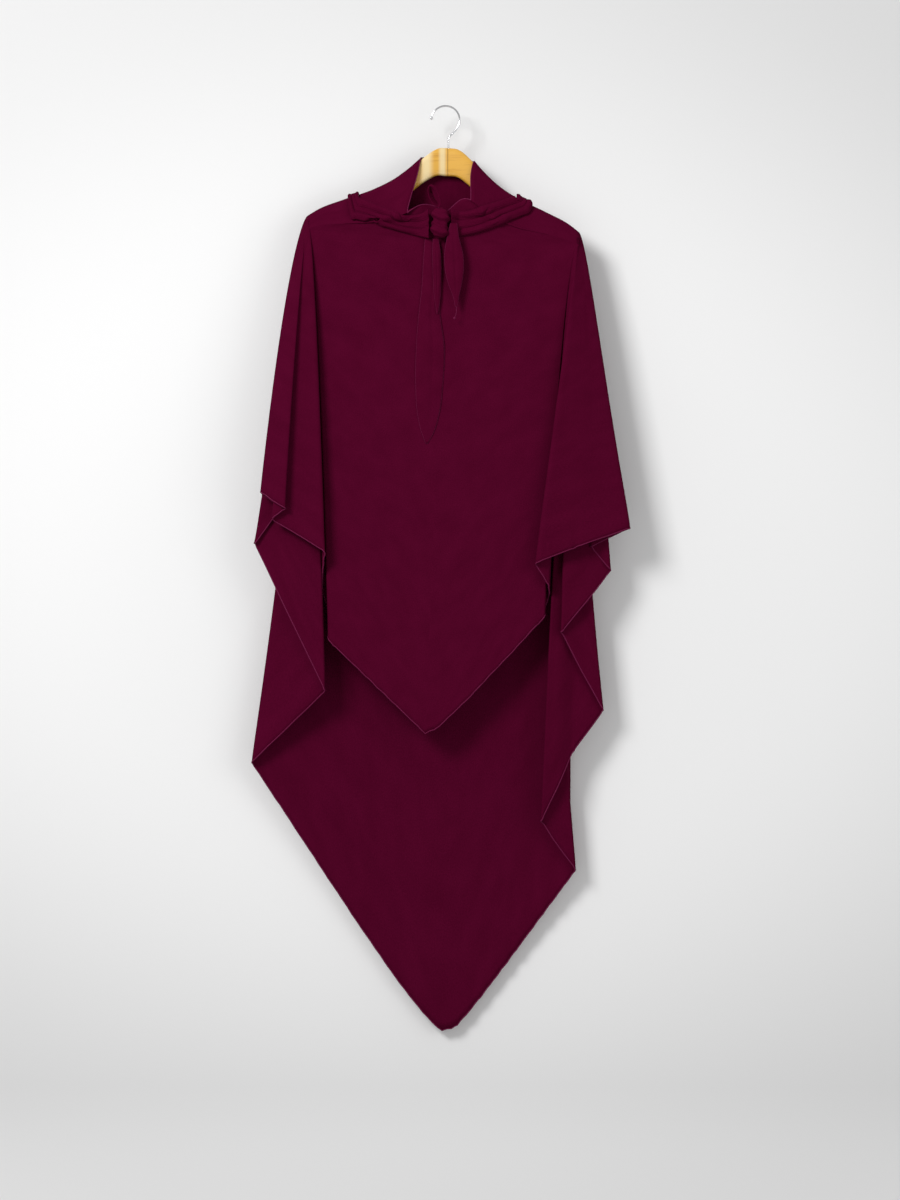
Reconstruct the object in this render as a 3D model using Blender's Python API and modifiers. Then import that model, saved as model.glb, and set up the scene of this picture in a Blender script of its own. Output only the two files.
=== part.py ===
"""Khimar veil with ties, hung on a wooden coat hanger.

Metres, +Z up, the front of the veil towards -Y. The origin is where the inner top of the hook hangs.
The veil is one tube of cloth. Its columns run from the face opening along the hanger's arms and down
to the hem, and its hem goes once round: front tip, left folds, back tip, right folds.
"""

import math

import bmesh
import bpy
import numpy as np
from mathutils.bvhtree import BVHTree

# Hanger
HANGER_WIDTH = 0.445
HANGER_DROP = 0.134
HANGER_TILT = math.radians(3.6)
WOOD_THICKNESS = 0.014
WOOD_HEIGHT = 0.0475
TIP_HEIGHT = 0.015
ARM_SWEEP = 0.018
HOOK_RADIUS = 0.0237
HOOK_WIRE = 0.0034
HOOK_BALL = 0.0056
HOOK_HEIGHT = 0.069
STEM_LENGTH = 0.017
STEM_OFFSET = 0.0050
STEM_DEPTH = 0.022
GAP = 0.0003
ARM_EASE = 0.0032

# Veil
CLOTH = 0.0012
CAPE_HALF_WIDTH = 0.325
SIDE_DROP = 0.475
FRONT_DROP = 0.846
BACK_DROP = 1.346
FRONT_TIP_X = -0.034
BACK_TIP_X = 0.010
FOLD_DEPTH = 0.080
LEFT_BACK_SWELL = 0.040
RIGHT_FRONT_SWELL = 0.012
RIGHT_BACK_SWELL = 0.010
FRONT_DEPTH = 0.036
BACK_DEPTH = 0.026
FOLD_REACH = 0.20
FOLD_RADIUS = 0.005
FACE_HALF_WIDTH = 0.0435
COLLAR_LEG = 0.066
COLLAR_FLARE = 0.017
SHOULDER_LEG = 0.012
LEG_SPREAD = 0.12
NECK_DROP = 0.166
FACE_DROP = 0.111
FACE_BACK_DROP = 0.022
COLLAR_BACK_LEG = 0.004

# Ties
TIE_CLOTH = 0.0012
TIE_PLEAT = 0.004
TIE_BACK_LEG = 0.010
TIE_EASE = 0.0026
KNOT_WIDTH = 0.030
KNOT_HEIGHT = 0.050
KNOT_DEPTH = 0.026
KNOT_GROOVE = 0.0012
KNOT_X = -0.009
KNOT_Z = -0.200
LEFT_TIE_SPAN = 0.137
LEFT_TIE_RISE = 0.043
RIGHT_TIE_SPAN = 0.128
RIGHT_TIE_RISE = 0.050
LOOP_HEIGHT = 0.034
LOOP_WIDTH = 0.015
LOOP_BAND = 0.012
LOOP_LEAN = 0.012
TAIL_SWELL = 0.0025
TAIL_LAYER = 0.0045
LONG_TAIL = 0.340
MIDDLE_TAIL = 0.124
SHORT_TAIL = 0.138
LONG_TAIL_WIDTH = 0.046
MIDDLE_TAIL_WIDTH = 0.016
SHORT_TAIL_WIDTH = 0.034
LONG_TAIL_X = -0.0235
MIDDLE_TAIL_X = -0.0155
SHORT_TAIL_X = 0.0138

# Top of an arm, from the middle of the hanger to its end
ARM_TOP = (
    # out, down: shares of half the width and of the drop
    (0.00, 0.00),
    (0.07, 0.01),
    (0.18, 0.14),
    (0.27, 0.295),
    (0.38, 0.455),
    (0.52, 0.60),
    (0.75, 0.77),
    (0.93, 0.915),
    (1.00, 1.00),
)

# Edge of the face opening, from the front middle over the arm to the back middle
FACE_EDGE = (
    # way round, left, right: shares of the round and of half the face width
    (0.00, 0.08, -0.08),
    (0.10, 0.90, 0.42),
    (0.18, 1.48, 0.84),
    (0.27, 1.42, 0.88),
    (0.36, 1.22, 0.88),
    (0.44, 1.08, 0.96),
    (0.50, 1.03, 1.04),
    (0.56, 1.00, 1.02),
    (0.70, 0.76, 0.80),
    (1.00, 0.00, 0.00),
)

# Folds under an arm's end, from the front to the back. Before the corner the rise goes from the corner
# to the front tip, and behind it from the corner to the back tip.
LEFT_FOLDS = (
    # name, out, rise, depth in, depth out, bow, sway: out and sway are shares of half the cape's width,
    # depths of the fold depth. Where both depths are the same, the cloth bends there once.
    ("body edge", 0.600, 0.620, -0.40, -0.40, 0.58, 0.0),
    ("valley near", 0.604, 0.480, -0.12, -0.12, 0.58, 0.0),
    ("valley far", 0.628, 0.420, -0.12, -0.12, 0.58, 0.0),
    ("flank", 0.628, 0.290, -0.56, -0.56, 0.58, 0.0),
    ("front ridge", 0.610, 0.226, -0.80, -0.80, 0.58, 0.0),
    ("wing valley", 0.885, 0.078, -0.76, -0.86, 0.80, 0.0),
    ("wing ridge", 0.818, 0.031, -0.90, -1.00, 0.80, 0.0),
    ("corner", 0.943, -0.018, -0.88, -0.74, 0.66, 0.0),
    ("hidden turn", 0.844, 0.012, -0.68, -0.58, 0.80, 0.0),
    ("upper side", 0.976, 0.080, -0.54, -0.44, 0.92, 0.0),
    ("inner ridge", 0.616, 0.360, -0.54, -0.42, 0.82, 0.0),
    ("lower side", 1.000, 0.500, -0.14, 0.02, 1.40, 0.0),
)
RIGHT_FOLDS = (
    ("body edge", 0.508, 0.440, -0.40, -0.40, 0.55, 0.0),
    ("valley near", 0.510, 0.400, -0.14, -0.14, 0.55, 0.0),
    ("valley far", 0.530, 0.360, -0.14, -0.14, 0.55, 0.0),
    ("flank", 0.530, 0.300, -0.56, -0.56, 0.55, 0.0),
    ("front ridge", 0.457, 0.200, -0.70, -0.84, 1.00, 0.0),
    ("wing middle", 0.668, 0.127, -0.72, -0.72, 0.90, 0.0),
    ("corner", 0.948, 0.017, -0.56, -0.46, 0.75, -0.021),
    ("hidden turn", 0.746, 0.053, -0.44, -0.35, 1.00, 0.0),
    ("upper side", 0.849, 0.098, -0.33, -0.24, 0.90, 0.0),
    ("middle ridge", 0.595, 0.216, -0.48, -0.38, 0.40, 0.0),
    ("middle side", 0.813, 0.367, -0.16, -0.04, 2.10, 0.0),
    ("recess", 0.654, 0.447, -0.11, -0.11, 1.00, 0.0),
    ("inner ridge", 0.492, 0.579, -0.30, -0.18, 0.65, 0.0),
    ("lower side", 0.674, 0.675, 0.02, 0.14, 1.00, -0.082),
)

# Edges of the ties, from the knot to the top of the arm
LEFT_TIE_ROWS = (
    # along, upper out, upper rise, lower out, lower rise: shares of the tie's span and of its rise
    (0.00, 0.13, 0.56, 0.13, -0.60),
    (0.12, 0.20, 0.40, 0.24, -0.50),
    (0.30, 0.42, 0.30, 0.48, -0.30),
    (0.55, 0.64, 0.56, 0.74, -0.06),
    (0.80, 0.84, 0.84, 0.94, 0.10),
    (1.00, 0.95, 0.98, 1.08, 0.20),
)
RIGHT_TIE_ROWS = (
    (0.00, 0.135, 0.43, 0.135, -0.43),
    (0.12, 0.22, 0.40, 0.21, -0.42),
    (0.30, 0.37, 0.42, 0.36, -0.38),
    (0.55, 0.64, 0.64, 0.64, -0.18),
    (0.80, 0.85, 0.84, 0.96, 0.16),
    (1.00, 0.96, 0.94, 1.16, 0.38),
)

# Free ends of the ties, from the knot down
LONG_TAIL_ROWS = (
    # down, left, right: shares of the length and of the width
    (0.00, -0.22, 0.18),
    (0.13, -0.29, 0.26),
    (0.25, -0.34, 0.28),
    (0.36, -0.44, 0.30),
    (0.54, -0.54, 0.46),
    (0.72, -0.56, 0.40),
    (0.85, -0.50, 0.28),
    (0.95, -0.34, 0.06),
    (1.00, -0.20, -0.14),
)
MIDDLE_TAIL_ROWS = (
    (0.00, -0.30, 0.20),
    (0.20, -0.35, 0.45),
    (0.50, -0.28, 0.50),
    (0.75, -0.18, 0.42),
    (0.92, 0.00, 0.25),
    (1.00, 0.08, 0.14),
)
SHORT_TAIL_ROWS = (
    (0.00, -0.16, 0.14),
    (0.15, -0.30, 0.22),
    (0.38, -0.44, 0.44),
    (0.58, -0.40, 0.46),
    (0.74, -0.24, 0.36),
    (0.88, -0.02, 0.24),
    (1.00, 0.08, 0.16),
)

PLEATS = 3
TIE_ROWS = 14
TIE_OVER_ROWS = 6
ARM_STATIONS = 12
WOOD_SIDES = 12
COLLAR_ROWS = 8
DROP_ROWS = 11
FRONT_FILL = 3
BACK_FILL = 5

CRIMSON = (0.070, 0.004, 0.017)
WOOD_X = STEM_OFFSET
WOOD_Z = -HOOK_HEIGHT
CORNER_ROUND = 0.5
FOLDS_ROUND = 0.3


def curve_through(rows, column, at):
    """Smooth values of one table column, by its first column."""
    table = np.array([[row[0], row[column]] for row in rows], float)
    slope = np.gradient(table[:, 1], table[:, 0])
    at = np.clip(np.asarray(at, float), table[0, 0], table[-1, 0])
    k = np.clip(np.searchsorted(table[:, 0], at, side="right") - 1, 0, len(table) - 2)
    step = table[k + 1, 0] - table[k, 0]
    t = (at - table[k, 0]) / step
    start = table[k, 1] * (1 + 2 * t) * (1 - t) ** 2 + slope[k] * step * t * (1 - t) ** 2
    end = table[k + 1, 1] * t * t * (3 - 2 * t) + slope[k + 1] * step * t * t * (t - 1)
    return start + end


def tilted(x, z):
    """A point of the level hanger, turned by its tilt and set under the hook."""
    cos, sin = math.cos(HANGER_TILT), math.sin(HANGER_TILT)
    return WOOD_X + x * cos + z * sin, WOOD_Z - x * sin + z * cos


def arm_top(out):
    """Height of the arm's top below the middle of the level hanger, at a share of its half width."""
    return -HANGER_DROP * curve_through(ARM_TOP, 1, out)


def arm_line(side, out):
    """The line along the top of one arm: x, depth and z."""
    x, z = tilted(side * out * HANGER_WIDTH / 2, arm_top(out))
    return x, -ARM_SWEEP * np.asarray(out), z


def add_object(name, mesh, colour, roughness, metallic=0.0):
    material = bpy.data.materials.new(name)
    material.use_nodes = True
    shader = material.node_tree.nodes["Principled BSDF"]
    shader.inputs["Base Color"].default_value = (*colour, 1.0)
    shader.inputs["Roughness"].default_value = roughness
    shader.inputs["Metallic"].default_value = metallic
    mesh.materials.clear()
    mesh.materials.append(material)
    obj = bpy.data.objects.new(name, mesh)
    PARTS.objects.link(obj)
    return obj


def grid_mesh(name, points, round_columns=False, round_rows=False):
    """A mesh of quads over a grid of points, closed along its columns or rows where asked."""
    rows, columns = points.shape[:2]
    i = np.arange(rows if round_rows else rows - 1)[:, None]
    j = np.arange(columns if round_columns else columns - 1)[None, :]
    right, below = (j + 1) % columns, (i + 1) % rows
    corners = [i * columns + j, i * columns + right, below * columns + right, below * columns + j]
    faces = np.stack(np.broadcast_arrays(*corners), -1).reshape(-1, 4)
    mesh = bpy.data.meshes.new(name)
    mesh.from_pydata(points.reshape(-1, 3).tolist(), [], faces.tolist())
    mesh.shade_smooth()
    return mesh


def capped(mesh):
    """Closes the open ends of a lofted tube and turns its faces outwards."""
    shape = bmesh.new()
    shape.from_mesh(mesh)
    bmesh.ops.holes_fill(shape, edges=[e for e in shape.edges if e.is_boundary])
    bmesh.ops.recalc_face_normals(shape, faces=shape.faces)
    shape.to_mesh(mesh)
    shape.free()
    return mesh


def thicken(obj, thickness):
    wall = obj.modifiers.new("wall", "SOLIDIFY")
    wall.thickness = thickness
    wall.offset = 0.0
    wall.use_even_offset = False


def hanger_wood():
    """A bent board: rounded sections along both arms, with a notched underside."""
    out = np.concatenate([-np.linspace(1, 0, ARM_STATIONS + 1)[:-1], np.linspace(0, 1, ARM_STATIONS + 1)])
    share = np.abs(out)
    top = arm_top(share)
    height = WOOD_HEIGHT + (TIP_HEIGHT - WOOD_HEIGHT) * share**1.3
    turn = (np.arange(WOOD_SIDES) + 0.5) * 2 * math.pi / WOOD_SIDES
    half = WOOD_THICKNESS / 2
    across = half * np.sin(turn)[None, :] * np.ones_like(share)[:, None]
    straight = np.sign(np.cos(turn))[None, :] * (height / 2 - half * 0.5)[:, None]
    up = straight + half * 0.5 * np.cos(turn)[None, :]
    x = out[:, None] * HANGER_WIDTH / 2 + np.zeros_like(up)
    x, z = tilted(x, (top - height / 2)[:, None] + up)
    y = across - (ARM_SWEEP * share)[:, None]
    mesh = capped(grid_mesh("hanger_wood", np.stack([x, y, z], -1), round_columns=True))
    wood = add_object("hanger_wood", mesh, (0.83, 0.46, 0.09), 0.25)
    bore = bmesh.new()
    depth = STEM_DEPTH + 2 * GAP
    bmesh.ops.create_cone(
        bore, cap_ends=True, segments=16, radius1=HOOK_WIRE / 2 + GAP, radius2=HOOK_WIRE / 2 + GAP, depth=2 * depth
    )
    bmesh.ops.translate(bore, verts=bore.verts, vec=(STEM_OFFSET, 0.0, WOOD_Z))
    cutter = bpy.data.meshes.new("hook_bore")
    bore.to_mesh(cutter)
    bore.free()
    hole = bpy.data.objects.new("hook_bore", cutter)
    hole.hide_render = True
    hole.display_type = "WIRE"
    CUTTERS.objects.link(hole)
    cut = wood.modifiers.new("bore", "BOOLEAN")
    cut.operation = "DIFFERENCE"
    cut.object = hole


def hanger_hook():
    """A wire arc over the hanging point, then down to the middle of the wood, with a ball at its tip."""
    centre_z = HOOK_WIRE / 2 - HOOK_RADIUS
    angles = np.radians(np.linspace(172, -42, 22))
    arc = [(HOOK_RADIUS * math.cos(a), centre_z + HOOK_RADIUS * math.sin(a)) for a in angles]
    stem_top = WOOD_Z + STEM_LENGTH
    stem = [(STEM_OFFSET, stem_top), (STEM_OFFSET, stem_top - HOOK_WIRE), (STEM_OFFSET, WOOD_Z - STEM_DEPTH)]
    bend = arc[-1]
    joint = [(bend[0] + (STEM_OFFSET - bend[0]) * t, bend[1] + (stem_top - bend[1]) * t) for t in (0.45, 0.85)]
    path = arc + joint + stem
    curve = bpy.data.curves.new("hook_wire", "CURVE")
    curve.dimensions = "3D"
    curve.bevel_depth = HOOK_WIRE / 2
    curve.bevel_resolution = 2
    curve.use_fill_caps = True
    line = curve.splines.new("POLY")
    line.points.add(len(path) - 1)
    for point, (x, z) in zip(line.points, path):
        point.co = (x, 0.0, z, 1.0)
    wire = bpy.data.objects.new("hook_wire", curve)
    PARTS.objects.link(wire)
    bpy.context.view_layer.update()
    mesh = bpy.data.meshes.new_from_object(wire.evaluated_get(bpy.context.evaluated_depsgraph_get()))
    bpy.data.objects.remove(wire)
    shape = bmesh.new()
    shape.from_mesh(mesh)
    bmesh.ops.remove_doubles(shape, verts=shape.verts, dist=0.00001)
    shape.to_mesh(mesh)
    shape.free()
    hook = add_object("hanger_hook", mesh, (0.80, 0.80, 0.82), 0.08, 1.0)
    ball = bmesh.new()
    bmesh.ops.create_uvsphere(ball, u_segments=14, v_segments=8, radius=HOOK_BALL / 2)
    bmesh.ops.translate(ball, verts=ball.verts, vec=(arc[0][0], 0.0, arc[0][1]))
    tip = bpy.data.meshes.new("hook_ball")
    ball.to_mesh(tip)
    ball.free()
    knob = bpy.data.objects.new("hook_ball", tip)
    knob.hide_render = True
    knob.display_type = "WIRE"
    CUTTERS.objects.link(knob)
    join = hook.modifiers.new("ball", "BOOLEAN")
    join.operation = "UNION"
    join.object = knob


def wrap_section(way, leg_front, leg_back, flare):
    """Depth and height round the arm, by the way round: half a circle over its top, then straight legs."""
    radius = WOOD_THICKNESS / 2 + CLOTH / 2 + ARM_EASE
    quarter = radius * math.pi / 2
    share = np.clip((way - CORNER_ROUND) / FOLDS_ROUND, -1, 1)
    leg = np.where(share < 0, leg_front, leg_back)
    length = np.abs(share) * (quarter + leg)
    angle = np.minimum(length / radius, math.pi / 2)
    down = np.maximum(length - quarter, 0)
    depth = np.sign(share) * radius * np.sin(angle)
    depth += np.sign(share) * LEG_SPREAD * down
    depth -= flare * np.where(share < 0, (down / leg) ** 1.5, 0)
    return depth, radius * np.cos(angle) - WOOD_THICKNESS / 2 - down


def fold_points(side, folds):
    """The columns of each fold: where the cloth comes in and, if it turns back, where it leaves."""
    corner = [row[0] for row in folds].index("corner")
    columns = [
        (index, depth) for index, row in enumerate(folds) for depth in dict.fromkeys((row[3], row[4]))
    ]
    middle = [index for index, _ in columns].index(corner) + 0.5
    points = []
    for place, (index, depth) in enumerate(columns):
        _, out, rise, _, _, bow, sway = folds[index]
        lowest = FRONT_DROP if index < corner else BACK_DROP
        step = place - middle
        room = middle if step < 0 else len(columns) - 1 - middle
        points.append(
            {
                "way": CORNER_ROUND + FOLDS_ROUND * step / room,
                "x": side * out * CAPE_HALF_WIDTH,
                "drop": SIDE_DROP + rise * (lowest - SIDE_DROP),
                "depth": depth * FOLD_DEPTH,
                "bow": bow,
                "sway": side * sway * CAPE_HALF_WIDTH,
                "round": FOLD_RADIUS,
            }
        )
    return points


def fill_points(side, edge, tip_x, tip_drop, tip_depth, tip_way, count, swell):
    """Plain columns between the middle of the front or back and its outermost fold."""
    points = []
    for index in range(count):
        along = (index + 1) / (count + 1)
        points.append(
            {
                "way": tip_way + along * (edge["way"] - tip_way),
                "x": tip_x + along * (edge["x"] - tip_x),
                "drop": tip_drop + along * (edge["drop"] - tip_drop) + swell * math.sin(math.pi * math.sqrt(along)),
                "depth": tip_depth + (edge["depth"] - tip_depth) * along**3,
                "bow": 1.0,
                "sway": 0.0,
                "round": 0.0,
            }
        )
    return points


def chain(side, folds, front_swell, back_swell):
    """All columns of one side from the front to the back, without the two middle ones."""
    middle = fold_points(side, folds)
    level = arm_line(side, 1.0)[2] - arm_line(-side, 1.0)[2]
    front = fill_points(
        side, middle[0], FRONT_TIP_X, FRONT_DROP + level / 2, -FRONT_DEPTH, 0.0, FRONT_FILL, front_swell
    )
    back = fill_points(
        side, middle[-1], BACK_TIP_X, BACK_DROP + level / 2, BACK_DEPTH, 1.0, BACK_FILL, back_swell
    )
    return front + middle + back[::-1]


def tip_point(x, drop, depth, way):
    return {"way": way, "x": x, "drop": drop, "depth": depth, "bow": 1.0, "sway": 0.0, "round": 0.0}


def column_grid(points, side):
    """Rows of points down every column of one side: rim, collar rows over the arm, then the drop."""
    value = {key: np.array([p[key] for p in points]) for key in points[0]}
    way = value["way"]
    # How far each column is from the folds, towards the middle of the front or back
    plain = np.clip((np.abs(way - CORNER_ROUND) - FOLDS_ROUND) / (0.5 - FOLDS_ROUND), 0, 1)
    in_front = way < CORNER_ROUND
    rim_out = curve_through(FACE_EDGE, 1 if side < 0 else 2, way) * FACE_HALF_WIDTH * 2 / HANGER_WIDTH
    rim_depth, rim_height = wrap_section(way, COLLAR_LEG, COLLAR_BACK_LEG, COLLAR_FLARE)
    end_depth, end_height = wrap_section(way, SHOULDER_LEG, SHOULDER_LEG, 0.0)
    middle_depth = np.where(in_front, -FRONT_DEPTH * 0.9, BACK_DEPTH * 0.6)
    middle_rim_z = WOOD_Z - np.where(in_front, FACE_DROP, FACE_BACK_DROP)
    middle_rim_y = np.where(in_front, -FRONT_DEPTH * 0.86, WOOD_THICKNESS / 2 + ARM_EASE)

    def on_arm(share):
        out = np.abs(rim_out) * (1 - share) + share
        x, y, z = arm_line(side, out)
        x = x + side * share * (ARM_EASE + CLOTH)
        x = np.where(rim_out < 0, arm_line(-side, out)[0] * (1 - share) + x * share, x)
        y = y + rim_depth * (1 - share) + end_depth * share
        return x, y, z + rim_height * (1 - share) + end_height * share

    start_x, start_y, start_z = on_arm(0.0)
    start_y = start_y * (1 - plain) + middle_rim_y * plain
    start_z = start_z * (1 - plain) + middle_rim_z * plain
    end_x, end_y, end_z = on_arm(1.0)
    end_x = end_x * (1 - plain)
    end_y = end_y * (1 - plain) + middle_depth * plain
    end_z = end_z * (1 - plain) + (WOOD_Z - NECK_DROP) * plain
    lift = 1 - plain
    grid = []
    for share in np.linspace(0, 1, COLLAR_ROWS + 1)[:-1]:
        straight = np.stack(
            [
                start_x + (end_x - start_x) * share,
                start_y + (end_y - start_y) * share,
                start_z + (end_z - start_z) * share,
            ],
            -1,
        )
        over_arm = np.stack(on_arm(share), -1)
        grid.append(straight + (over_arm - straight) * (lift**4)[:, None])
    hem_z = float(arm_line(side, 1.0)[2]) - value["drop"]
    for share in np.linspace(0, 1, DROP_ROWS + 1) ** 1.25:
        z = end_z + (hem_z - end_z) * share
        fallen = end_z - z
        x = end_x + (value["x"] - end_x) * share ** value["bow"] + value["sway"] * 4 * share * (1 - share)
        y = end_y + (value["depth"] - end_y) * (1 - np.exp(-fallen / FOLD_REACH))
        grid.append(np.stack([x, y, z], -1))
    return np.stack(grid)


def rounded(grid, radius):
    """Each fold column becomes two, a little before and after it, so that the fold is rounded."""
    before, after = np.roll(grid, 1, axis=1), np.roll(grid, -1, axis=1)
    columns = []
    for index, limit in enumerate(radius):
        here = grid[:, index]
        if not limit:
            columns.append(here)
            continue
        for other in (before[:, index], after[:, index]):
            away = other - here
            length = np.linalg.norm(away, axis=1, keepdims=True)
            columns.append(here + away * np.minimum(0.42, limit / np.maximum(length, 1e-6)))
    return np.stack(columns, axis=1)


def veil_grid():
    left = chain(-1, LEFT_FOLDS, 0.0, LEFT_BACK_SWELL)
    right = chain(1, RIGHT_FOLDS, RIGHT_FRONT_SWELL, RIGHT_BACK_SWELL)
    level = arm_line(-1, 1.0)[2] - arm_line(1, 1.0)[2]
    front = tip_point(FRONT_TIP_X, FRONT_DROP + level / 2, -FRONT_DEPTH, 0.0)
    back = tip_point(BACK_TIP_X, BACK_DROP + level / 2, BACK_DEPTH, 1.0)
    left_grid = column_grid([front, *left, back], -1)
    right_grid = column_grid(right, 1)[:, ::-1]
    radius = [0.0] + [p["round"] for p in left] + [0.0] + [p["round"] for p in right[::-1]]
    return rounded(np.concatenate([left_grid, right_grid], axis=1), radius)


def veil():
    """The tube of cloth. It gives back the middle of its wall, for what lies on it."""
    mesh = grid_mesh("veil", veil_grid(), round_columns=True)
    thicken(add_object("veil", mesh, CRIMSON, 0.85), CLOTH)
    corners = [tuple(v.co) for v in mesh.vertices]
    return BVHTree.FromPolygons(corners, [tuple(p.vertices) for p in mesh.polygons])


def front_of(cloth, x, z):
    """Depth of the veil's front at a point seen from the front, or none inside the face opening."""
    hit = cloth.ray_cast((x, -CAPE_HALF_WIDTH, z), (0.0, 1.0, 0.0))[0]
    return hit[1] if hit and hit[1] < 0 else None


def seat_depth(cloth, x_values, z, thickness):
    """Depth of the middle of a piece of this thickness that lies on the veil's front."""
    found = [front_of(cloth, x, z) for x in x_values]
    return min(y for y in found if y is not None) - CLOTH / 2 - thickness / 2 - GAP


def knot_depth(cloth):
    across = KNOT_X + KNOT_WIDTH * np.linspace(-0.5, 0.5, 5)
    heights = KNOT_Z + KNOT_HEIGHT * np.linspace(-0.5, 0.0, 4)
    return min(seat_depth(cloth, across, z, KNOT_DEPTH) for z in heights)


def lifted_off(cloth, points, side, rest):
    """Moves the points that are nearer to the veil than they may rest, straight away from it."""
    clear = points.copy()
    for place in np.ndindex(points.shape[:2]):
        point = points[place]
        share = abs(point[0] - WOOD_X) / (HANGER_WIDTH / 2)
        _, arm_y, arm_z = arm_line(side, share)
        away = np.array([0.0, point[1] - arm_y, max(point[2] - arm_z + WOOD_THICKNESS / 2, 0.0)])
        for _ in range(3):
            near, normal, _, _ = cloth.find_nearest(tuple(clear[place]))
            outward = np.array(normal) * (1.0 if np.dot(normal, away) > 0 else -1.0)
            clear[place] += outward * max(rest - np.dot(clear[place] - np.array(near), outward), 0.0)
    return clear


def tie_strap(name, side, rows, span, rise, cloth):
    """A pleated band from the knot over the veil's shoulder to just behind the arm."""
    across = np.linspace(0, 1, 2 * PLEATS + 1)
    along = np.linspace(0, 1, TIE_ROWS)
    rest = CLOTH / 2 + TIE_CLOTH / 2 + TIE_EASE
    upper_x, upper_z, lower_x, lower_z = (curve_through(rows, column, along)[:, None] for column in (1, 2, 3, 4))
    x = KNOT_X + side * span * (upper_x + (lower_x - upper_x) * across)
    z = KNOT_Z + rise * (upper_z + (lower_z - upper_z) * across)
    y = np.empty_like(x)
    start = knot_depth(cloth)
    for column in range(len(across)):
        found = [front_of(cloth, *place) for place in zip(x[:, column], z[:, column])]
        lies = [row for row, depth in enumerate(found) if depth is not None and row > 1]
        y[:, column] = np.interp(range(TIE_ROWS), [0] + lies, [start] + [found[row] - rest for row in lies])
    pleat = np.sin(math.pi * PLEATS * across) ** 2
    y -= TIE_PLEAT * pleat * (0.3 + 0.7 * np.sin(math.pi * along))[:, None]
    radius = WOOD_THICKNESS / 2 + ARM_EASE + rest + CLOTH / 2
    last = rows[-1]
    top_x = KNOT_X + side * span * (last[1] + 0.04 + (last[3] - last[1]) * across)
    out = np.abs(top_x - WOOD_X) / (HANGER_WIDTH / 2)
    arm_x, arm_y, arm_z = arm_line(side, out)
    turns = np.radians(np.linspace(-60, 90, TIE_OVER_ROWS))[:, None]
    over_y = arm_y + radius * np.sin(turns)
    over_z = arm_z - WOOD_THICKNESS / 2 + radius * np.cos(turns)
    over_x = np.broadcast_to(top_x, over_y.shape)
    end = np.stack([over_x[-1], over_y[-1] + LEG_SPREAD * TIE_BACK_LEG, over_z[-1] - TIE_BACK_LEG], -1)
    points = np.concatenate([np.stack([x, y, z], -1), np.stack([over_x, over_y, over_z], -1), end[None]])
    points = lifted_off(cloth, points, side, rest)
    thicken(add_object(name, grid_mesh(name, points), CRIMSON, 0.85), TIE_CLOTH)


def tie_knot(cloth):
    """A rounded body with two shallow grooves where the cloth is wound round."""
    turn = np.linspace(0, 2 * math.pi, 20, endpoint=False)[None, :]
    rise = np.radians(np.linspace(-84, 84, 13))[:, None]
    cos, sin = np.cos(turn), np.sin(turn)
    square = (np.abs(cos) ** 3 + np.abs(sin) ** 3) ** (-1 / 3)
    level = (np.abs(np.cos(rise)) ** 3 + np.abs(np.sin(rise)) ** 3) ** (-1 / 3)
    groove = 1 - KNOT_GROOVE / (KNOT_DEPTH / 2) * np.sin(2.5 * rise) ** 2
    reach = np.cos(rise) * level * groove
    x = KNOT_X + KNOT_WIDTH / 2 * cos * square * reach
    y = knot_depth(cloth) + KNOT_DEPTH / 2 * sin * square * reach
    z = KNOT_Z + KNOT_HEIGHT / 2 * np.sin(rise) * level + 0 * x
    add_object("tie_knot", capped(grid_mesh("tie_knot", np.stack([x, y, z], -1), round_columns=True)), CRIMSON, 0.85)


def tie_loop(cloth):
    """A closed ribbon loop that stands on the knot and leans to the left."""
    turn = np.linspace(0, 2 * math.pi, 18, endpoint=False)[:, None]
    height = (1 - np.cos(turn)) / 2
    across = np.linspace(-0.5, 0.5, 3)[None, :]
    foot = KNOT_Z + KNOT_HEIGHT / 2 + GAP + TIE_CLOTH / 2
    x = KNOT_X - LOOP_WIDTH / 4 + LOOP_WIDTH / 2 * np.sin(turn) - LOOP_LEAN * height + 0 * across
    y = knot_depth(cloth) + LOOP_BAND * across + 0 * x
    z = foot + LOOP_HEIGHT * height + 0 * across
    mesh = grid_mesh("tie_loop", np.stack([x, y, z], -1), round_rows=True)
    thicken(add_object("tie_loop", mesh, CRIMSON, 0.85), TIE_CLOTH)


def tie_tail(name, rows, length, width, centre_x, top_z, layer, cloth):
    """A free end: a leaf-shaped band that hangs plumb in front of the veil, in its layer of the tails."""
    down = np.linspace(0, 1, 2 * len(rows) - 1)
    across = np.linspace(0, 1, 5)
    left, right = (curve_through(rows, column, down)[:, None] * width for column in (1, 2))
    x = centre_x + left + (right - left) * across
    z = top_z - length * down
    y = min(seat_depth(cloth, spots, height, TIE_CLOTH) for spots, height in zip(x, z)) - layer * TAIL_LAYER
    swell = TAIL_SWELL * np.sin(math.pi * across) * np.sin(math.pi * np.clip(down, 0.05, 0.95))[:, None]
    points = np.stack([x, y - swell, z[:, None] + 0 * x], -1)
    thicken(add_object(name, grid_mesh(name, points), CRIMSON, 0.85), TIE_CLOTH)


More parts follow.
